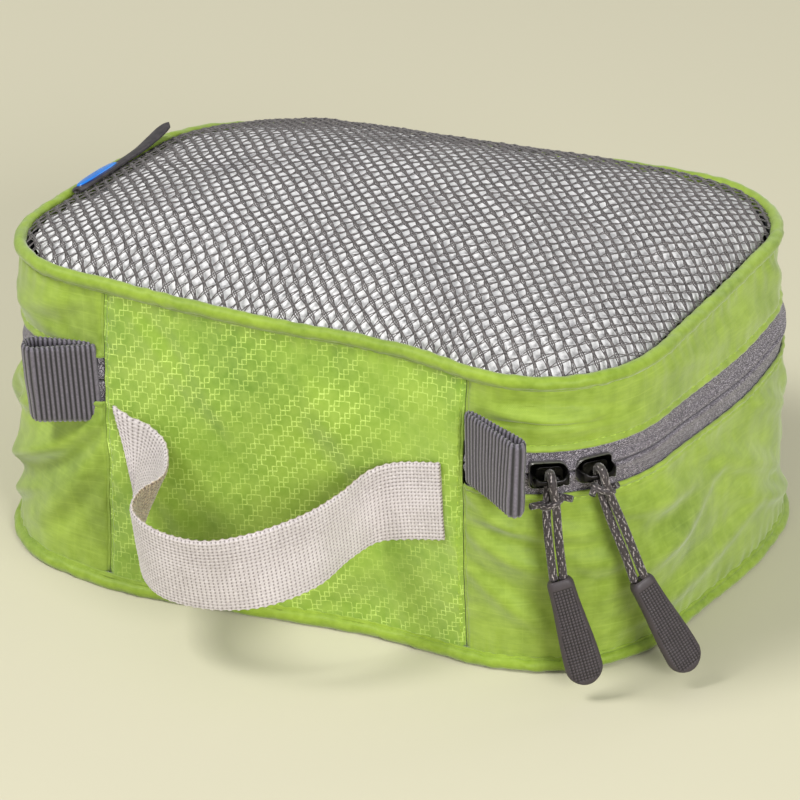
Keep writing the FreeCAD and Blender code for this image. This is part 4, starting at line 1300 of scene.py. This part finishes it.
def ribbon_loop(name, node, root, ang, r0, r1, far, z0, z1, twist=0.0, sag=0.0, slant=0.0):
    P, u = teardrop(root, ang, r0, r1, far)
    d = np.gradient(P, axis=0)
    d /= np.linalg.norm(d, axis=1)[:, None]
    n = np.stack([d[:, 1], -d[:, 0]], 1)
    if ((P - P.mean(0)) * n).sum(1).mean() < 0:
        n = -n
    pitch = 1.45
    rib = np.abs(np.sin(np.pi * u / pitch))
    nz = 22
    co, rb, uv = [], [], []
    far_share = np.clip(np.linalg.norm(P - np.array(root), axis=1) / (far + r1), 0, 1)
    for i in range(len(P)):
        zz = np.linspace(0, 1, nz)
        e = 0.34 * rib[i]
        za, zb = z0 - e, z1 + e
        drop = -sag * far_share[i] ** 2
        z = za + (zb - za) * zz + drop
        ou = 0.42 + 0.30 * rib[i] ** 0.8
        bow = 0.25 * np.sin(np.pi * zz)
        wob = 0.30 * vnoise(np.column_stack([np.full(nz, u[i] / 9), z / 8, np.full(nz, z0)])) * far_share[i]
        for side in (1, -1):
            q = P[i][None] + n[i][None] * (side * ou + bow * far_share[i] + wob)[:, None]
            tip = np.where((zz == 0) | (zz == 1), 0.4, 1.0)
            q = P[i][None] + n[i][None] * (side * ou * tip + bow * far_share[i] + wob)[:, None]
            # the lower part turns about the seam
            tw = np.radians(twist) * (1 - zz)
            rel = q - np.array(root)
            q = np.array(root) + np.column_stack([rel[:, 0] * np.cos(tw) - rel[:, 1] * np.sin(tw), rel[:, 0] * np.sin(tw) + rel[:, 1] * np.cos(tw)])
            q[:, 0] += slant * (1 - zz)
            col = np.column_stack([q, z])
            co.append(col if side == 1 else col[::-1])
            # rib height per row, which the material turns into painted highlight on the crests and painted shade in the
            # grooves
            rb.append(np.full(nz, rib[i] * 0.9 + 0.1))
            uv.append(np.column_stack([np.full(nz, u[i]), z if side == 1 else z[::-1]]))
    co = np.concatenate(co)
    m = 2 * nz
    f = grid_quads(len(P), m, wrap_v=True).tolist() + [list(range(m)), list(range((len(P) - 1) * m, len(P) * m))[::-1]]
    o = build(name, co, f, M_GROS, uv=np.concatenate(uv), attrs={"rib": np.concatenate(rb)})
    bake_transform(o)
    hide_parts(node)
    return o


loop_l = ribbon_loop("loop_left", "grosgrain_loop_left", (-61.6, -75.6), 207, 0.75, 3.6, 16.2, 49.6, 73.6, twist=-4.0, slant=1.6)
loop_r = ribbon_loop("loop_right", "grosgrain_loop_right", (61.6, -73.6), -21, 0.7, 1.8, 19.6, 61.8, 83.2, twist=-3.0, slant=0.6, sag=0.9)


# ------------------------------------------------------------------ handle
def web_section(P, W, N, name, thick=1.3, pu=1.25, pv=1.12, sub=4):
    """Woven webbing. P centre line, W unit vectors across it, N unit face normals, all resampled finely."""
    seg = np.linalg.norm(np.diff(P, axis=0), axis=1)
    L = np.concatenate([[0], np.cumsum(seg)])
    n_u = int(L[-1] / pu) * sub + 1
    u = np.linspace(0, L[-1], n_u)
    width = 25.0
    n_v = int(width / pv) * sub + 1
    v = np.linspace(-width / 2, width / 2, n_v)
    ip = lambda A: np.stack([np.interp(u, L, A[:, k]) for k in range(3)], 1)
    Pc, Wc, Nc = ip(P), ip(W), ip(N)
    Wc /= np.linalg.norm(Wc, axis=1)[:, None]
    Nc /= np.linalg.norm(Nc, axis=1)[:, None]
    U, V = np.meshgrid(u, v, indexing="ij")
    a, b = U / pu, (V + width / 2) / pv
    fa, fb = a - np.floor(a) - 0.5, b - np.floor(b) - 0.5
    par = (np.floor(a) + np.floor(b)) % 2
    ca, cb = np.cos(np.pi * np.clip(fa, -0.5, 0.5)), np.cos(np.pi * np.clip(fb, -0.5, 0.5))
    h = np.where(par < 0.5, np.sqrt(cb) * (0.45 + 0.55 * ca), 0.85 * np.sqrt(ca) * (0.45 + 0.55 * cb))
    # corners where no yarn lies on top; the material paints them dark as painted shade
    hole = smooth01(((np.abs(fa) + np.abs(fb)) - 0.62) / 0.25)
    edge = smooth01((np.abs(V) - width / 2 + 1.0) / 1.0)
    Vw = V + 0.16 * np.sin(2 * np.pi * U / (2 * pu)) * edge
    wav = 0.22 * vnoise(np.column_stack([U.ravel() / 14, V.ravel() / 10, np.zeros(U.size)])).reshape(U.shape)
    half = thick / 2 * (1 - 0.55 * edge ** 2)
    front = Pc[:, None] + Wc[:, None] * Vw[..., None] + Nc[:, None] * (half - 0.22 + 0.34 * h + wav)[..., None]
    back = Pc[:, None] + Wc[:, None] * Vw[..., None] + Nc[:, None] * (-half + 0.22 - 0.34 * h + wav)[..., None]
    # two grids joined at the rims
    co = np.concatenate([front.reshape(-1, 3), back.reshape(-1, 3)])
    nf = n_u * n_v
    f = grid_quads(n_u, n_v).tolist() + grid_quads(n_u, n_v, base=nf, flip=True).tolist()
    i = np.arange(n_u - 1)
    a0, a1 = i * n_v, (i + 1) * n_v
    f += np.stack([a0 + nf, a1 + nf, a1, a0], 1).tolist()
    b0, b1 = a0 + n_v - 1, a1 + n_v - 1
    f += np.stack([b0, b1, b1 + nf, b0 + nf], 1).tolist()
    j = np.arange(n_v - 1)
    f += np.stack([j, j + 1, j + 1 + nf, j + nf], 1).tolist()
    e0 = (n_u - 1) * n_v + j
    f += np.stack([e0 + nf, e0 + 1 + nf, e0 + 1, e0], 1).tolist()
    uv = np.stack([U, V], -1).reshape(-1, 2)
    # the last array marks the back face, which the material paints darker, partly as painted shade
    return co, f, np.tile(uv, (2, 1)), np.tile(hole.ravel(), 2), np.concatenate([np.zeros(nf), np.ones(nf)])


# centre line and direction across of the webbing, from its left end to its right end (mm)
WEB = [
    ((-49.10, -79.48, 45.34), (-0.305, 0.070, 0.950)), ((-45.40, -80.15, 42.80), (-0.077, 0.101, 0.992)),
    ((-41.77, -81.16, 42.98), (0.216, 0.056, 0.975)), ((-35.91, -85.64, 41.83), (0.403, 0.099, 0.910)),
    ((-30.59, -93.92, 39.41), (0.454, -0.060, 0.889)), ((-28.03, -103.39, 37.72), (0.156, -0.206, 0.966)),
    ((-22.11, -112.07, 36.03), (-0.033, -0.171, 0.985)), ((-11.23, -116.50, 35.35), (0.019, -0.183, 0.983)),
    ((2.46, -114.96, 35.45), (-0.002, -0.195, 0.981)), ((14.49, -108.07, 37.15), (-0.066, -0.121, 0.990)),
    ((24.03, -96.21, 39.99), (-0.055, -0.143, 0.988)), ((27.92, -84.56, 42.90), (0.036, -0.212, 0.977)),
    ((31.65, -74.53, 45.69), (-0.007, -0.134, 0.991)), ((39.66, -71.73, 48.42), (-0.067, -0.040, 0.997)),
    ((52.71, -72.84, 52.46), (-0.041, -0.047, 0.998)),
]


def handle():
    C = smooth_curve([w[0] for w in WEB], 14)
    W = smooth_curve([w[1] for w in WEB], 14)
    T = np.gradient(C, axis=0)
    T /= np.linalg.norm(T, axis=1)[:, None]
    W /= np.linalg.norm(W, axis=1)[:, None]
    N = np.cross(T, W)
    N /= np.linalg.norm(N, axis=1)[:, None]
    co, f, uv, hole, under = web_section(C, W, N, "handle")
    o = build("handle_webbing", co, f, M_WEB, uv=uv, attrs={"hole": hole, "under": under})
    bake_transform(o)
    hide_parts("handle_end_left", "handle_strap", "handle_end_right")
    return o


web = handle()


# ------------------------------------------------------------------ net and what shows through it
VA, VB = np.array([1.6, 3.0]), np.array([2.5, -2.4])
ORG = np.array([0.4, 0.7])


def net_surface(x, y, lift=0.0):
    """World points of the net's middle at plan points, and the share of the way out to the outline."""
    X, Y, dz, rho, s = to_top(x, y)
    z = 94.4 + dome(x, y) + dz + lift
    rim = smooth01((rho - 0.955) / 0.035)
    z = z - 0.9 * rim
    return np.column_stack([X, Y, z]), rho


def net_threads():
    parts_co, parts_f, dark = [], [], []
    base = 0
    span = 64
    sub = 5
    t = np.arange(-span * sub, span * sub + 1) / sub

    def strand(fixed, along_a, off_mm, off_z, r, tone, sides=4):
        nonlocal base
        a, b = (t, np.full(len(t), fixed)) if along_a else (np.full(len(t), fixed), t)
        d = VA if along_a else VB
        d = d / np.linalg.norm(d)
        perp = np.array([-d[1], d[0]])
        om, oz = off_mm(t), off_z(t)
        xy = ORG + a[:, None] * VA + b[:, None] * VB + perp * om[:, None]
        warp = np.column_stack([xy / 34, np.zeros(len(xy))])
        xy = xy + 1.5 * np.column_stack([fnoise(warp + 1.7, 2), fnoise(warp + 8.3, 2)]) * 1.0
        X, Y = xy[:, 0], xy[:, 1]
        ok = (np.abs(X) < 104) & (np.abs(Y) < 79)
        if ok.sum() < 4:
            return
        rho, _ = inside(X, Y)
        ok &= rho < 0.992
        idx = np.where(ok)[0]
        if len(idx) < 4:
            return
        runs = np.split(idx, np.where(np.diff(idx) > 1)[0] + 1)
        for run in runs:
            if len(run) < 4:
                continue
            P, _ = net_surface(X[run], Y[run])
            P[:, 2] += oz[run]
            th = np.linspace(0, 2 * np.pi, sides, endpoint=False) + 0.5
            tg = np.gradient(P, axis=0)
            tg /= np.linalg.norm(tg, axis=1)[:, None]
            side = np.cross(tg, [0, 0, 1.0])
            side /= np.linalg.norm(side, axis=1)[:, None]
            up = np.cross(side, tg)
            rr = r * (1 + 0.18 * np.sin(run * 2.1 + fixed))
            Q = P[:, None] + rr[:, None, None] * (1.25 * np.cos(th)[None, :, None] * side[:, None] + 0.85 * np.sin(th)[None, :, None] * up[:, None])
            n = len(run)
            parts_co.append(Q.reshape(-1, 3))
            parts_f.append(grid_quads(n, sides, wrap_v=True, base=base))
            parts_f.append(np.array([[base, base + 1, base + 2, base + 3], [base + (n - 1) * sides + 3, base + (n - 1) * sides + 2, base + (n - 1) * sides + 1, base + (n - 1) * sides]]))
            dark.append(np.full(n * sides, tone))
            base += n * sides

    for k in range(-span, span + 1):
        # light pair, closing up at every other crossing
        for sgn, tone in ((-1, 0.25), (1, 0.6)):
            strand(k, True, lambda q, sgn=sgn, k=k: sgn * (0.26 + 0.17 * np.cos(np.pi * (q + k))), lambda q, k=k: 0.16 * np.cos(np.pi * (q + k)) - 0.05, 0.160, tone)
        # dark flat strand of three yarns; the middle yarn's lighter tone is a painted highlight between the two dark
        # ones
        for j, tone in ((-1, 0.9), (0, 0.45), (1, 1.0)):
            strand(k, False, lambda q, j=j, k=k: j * (0.40 + 0.16 * np.cos(np.pi * (q + k))) + 0.05 * np.sin(np.pi * 2 * q + j), lambda q, k=k, j=j: -0.14 * np.cos(np.pi * (q + k)) + (0.10 if j == 0 else 0.0), 0.200, tone)
    co = np.concatenate(parts_co)
    f = np.concatenate(parts_f)
    print("net faces", len(f))
    o = build("net", co, f, M_NET, uv=co[:, :2], attrs={"dark": np.concatenate(dark)})
    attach(o, "lid"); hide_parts("net_panel")
    return o


net = net_threads()


def tissue():
    nx, ny = 190, 150
    gx, gy = np.linspace(-1, 1, nx), np.linspace(-1, 1, ny)
    GX, GY = np.meshgrid(gx, gy, indexing="ij")
    # square to rounded outline
    x, y = GX.ravel(), GY.ravel()
    ex, ey = x * np.sqrt(1 - y * y / 2), y * np.sqrt(1 - x * x / 2)
    r = np.hypot(ex, ey)
    th = np.arctan2(ey, ex)
    R = np.interp(th, _TH, _RR)
    X, Y = np.cos(th) * R * r * 0.965, np.sin(th) * R * r * 0.965
    P, rho = net_surface(X, Y)
    q = np.column_stack([X / 15, Y / 13, np.zeros(len(X))])
    folds = 1.5 * np.abs(fnoise(q + 2.2, 3)) + 0.9 * np.abs(fnoise(q * 2.3 + 9.1, 2)) + 0.35 * np.abs(fnoise(q * 6.0 + 4.1, 2))
    P[:, 2] -= 1.0 + folds * 1.2 + 0.9 * smooth01((rho - 0.86) / 0.1)
    lower = P - np.array([0, 0, 0.3])
    co = np.concatenate([P, lower])
    n = nx * ny
    f = grid_quads(nx, ny).tolist() + grid_quads(nx, ny, base=n, flip=True).tolist()
    rim = [i * ny for i in range(nx)] + [(nx - 1) * ny + j for j in range(1, ny)] + [i * ny + ny - 1 for i in range(nx - 2, -1, -1)] + [j for j in range(ny - 2, 0, -1)]
    for k in range(len(rim)):
        a, b = rim[k], rim[(k + 1) % len(rim)]
        f.append([a, a + n, b + n, b])
    o = build("tissue", co, f, M_PAPER, uv=co[:, :2])
    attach(o, "lid"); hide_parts("packing_paper")
    return o


paper = tissue()


# ------------------------------------------------------------------ tab on the left top edge
def tab_piece():
    # centre line (y, z of the inner edge side), width and lean along it
    ys = np.array([-33.0, -26.0, -18.0, -8.0, 2.0, 10.0, 15.0, 18.2])
    zc = np.array([97.2, 97.4, 97.4, 97.3, 97.4, 98.3, 99.2, 100.0])
    wd = np.array([6.4, 6.6, 6.2, 4.6, 5.2, 6.4, 5.6, 2.4])
    xc = np.array([-95.0, -95.0, -95.0, -95.0, -95.2, -95.4, -95.6, -95.7])
    y = np.concatenate([np.linspace(-33, 17.0, 90), 18.2 - 1.2 * (1 - np.sin(np.linspace(0.1, 1, 12) * np.pi / 2))])
    y = np.unique(y.round(3))

    def cr(v):
        k = smooth_curve(np.column_stack([ys, v]), 12)
        return np.interp(y, k[:, 0], k[:, 1])
    z, w, x = cr(zc), cr(wd), cr(xc)
    w = w * np.sqrt(np.clip((18.3 - y) / 3.0, 0.02, 1)) ** 0.9 * np.sqrt(np.clip((y + 33.3) / 2.5, 0.1, 1))
    lean = math.radians(24)
    across = np.array([math.cos(lean), 0, math.sin(lean)])
    m = 28
    t = np.linspace(0, 2 * np.pi, m, endpoint=False)
    co = []
    for i in range(len(y)):
        c = np.array([x[i], y[i], z[i]])
        T = np.array([0, 1.0, np.interp(y[i], y, np.gradient(z, y))])
        T /= np.linalg.norm(T)
        n = np.cross(across, T)
        n = n / np.linalg.norm(n)
        if n[2] < 0:
            n = -n
        hw, ht = w[i] / 2, 0.8 * min(1.0, w[i] / 3.0)
        cx = np.sign(np.cos(t)) * np.abs(np.cos(t)) ** 0.7 * hw
        cy = np.sign(np.sin(t)) * np.abs(np.sin(t)) ** 0.7 * ht
        co.append(c + across * cx[:, None] + n * cy[:, None])
    co = np.concatenate(co)
    f = grid_quads(len(y), m, wrap_v=True).tolist() + [list(range(m))[::-1], list(range((len(y) - 1) * m, len(y) * m))]
    o = build("tab_tongue", co, f, M_TAB, uv=co[:, :2])
    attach(o, "edge_tab"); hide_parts("edge_tab")
    # badge: a low dome, with a dark rim
    rim_parts = []
    out = []
    yy = np.linspace(-31.5, -11.5, 40)
    for which, hw, h0, h1, mat, nm in (("rim", 3.0, 0.55, 1.05, M_NAVY, "tab_badge_rim"), ("lens", 2.55, 0.8, 1.5, M_BLUE, "tab_badge")):
        k = 40
        th = np.linspace(0, 2 * np.pi, k, endpoint=False)
        a = 10.2 if which == "rim" else 9.6
        rings = []
        for q, hh in ((1.0, h0), (1.0, h0 + (h1 - h0) * 0.55), (0.93, h0 + (h1 - h0) * 0.85), (0.75, h1), (0.4, h1 + 0.12), (0.05, h1 + 0.15)):
            cy = -21.5 + np.sign(np.cos(th)) * np.abs(np.cos(th)) ** 0.8 * a * q
            cx = np.sign(np.sin(th)) * np.abs(np.sin(th)) ** 0.8 * hw * q
            zz = np.interp(cy, y, z)
            xx = np.interp(cy, y, x)
            n = np.array([-math.sin(lean), 0, math.cos(lean)])
            rings.append(np.column_stack([xx, cy, zz]) + across * cx[:, None] + n * hh)
        P = np.concatenate(rings)
        f = grid_quads(6, k, wrap_v=True).tolist() + [list(range(k))[::-1], list(range(5 * k, 6 * k))]
        b = build(nm, P, f, mat, uv=P[:, :2])
        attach(b, "edge_tab")
        if which == "lens":
            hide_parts("edge_tab_patch")


tab_piece()


# ------------------------------------------------------------------ floor and light
def plain_floor():
    me = bpy.data.meshes.new("floor")
    k = 6.0
    me.from_pydata([(-k, -k, 0), (k, -k, 0), (k, k, 0), (-k, k, 0)], [], [(0, 1, 2, 3)])
    o = bpy.data.objects.new("floor", me)
    scene.collection.objects.link(o)
    m = bpy.data.materials.new("floor")
    m.use_nodes = True
    b = m.node_tree.nodes["Principled BSDF"]
    b.inputs["Base Color"].default_value = lin(197, 193, 170)
    b.inputs["Roughness"].default_value = 0.95
    b.inputs["Specular IOR Level"].default_value = 0.05
    me.materials.append(m)
    return o


floor = plain_floor()


def area(name, loc_, at, size, power, color=(1, 1, 1)):
    d = bpy.data.lights.new(name, "AREA")
    d.shape, d.size, d.size_y = "RECTANGLE", size[0], size[1]
    d.energy, d.color = power, color
    o = bpy.data.objects.new(name, d)
    scene.collection.objects.link(o)
    o.location = loc_
    o.rotation_euler = (Vector(at) - Vector(loc_)).to_track_quat("-Z", "Y").to_euler()
    return o


area("key", (-0.75, -0.75, 1.45), (0, 0, 0.04), (0.55, 0.55), 22.5, (1.0, 0.99, 0.97))
area("fill", (1.4, -1.0, 0.8), (0, 0, 0.04), (0.7, 0.6), 29.0, (1.0, 0.99, 0.98))
area("front", (0.2, -1.6, 0.55), (0, 0, 0.05), (1.2, 0.8), 2.0)
area("back", (0.3, 1.3, 1.0), (0, 0, 0.06), (1.2, 0.6), 3.0)
world = bpy.data.worlds.new("world")
scene.world = world
world.use_nodes = True
world.node_tree.nodes["Background"].inputs[0].default_value = (0.95, 0.95, 0.95, 1)
world.node_tree.nodes["Background"].inputs[1].default_value = 0.44
scene.view_settings.view_transform = "Standard"
scene.view_settings.look = "None"
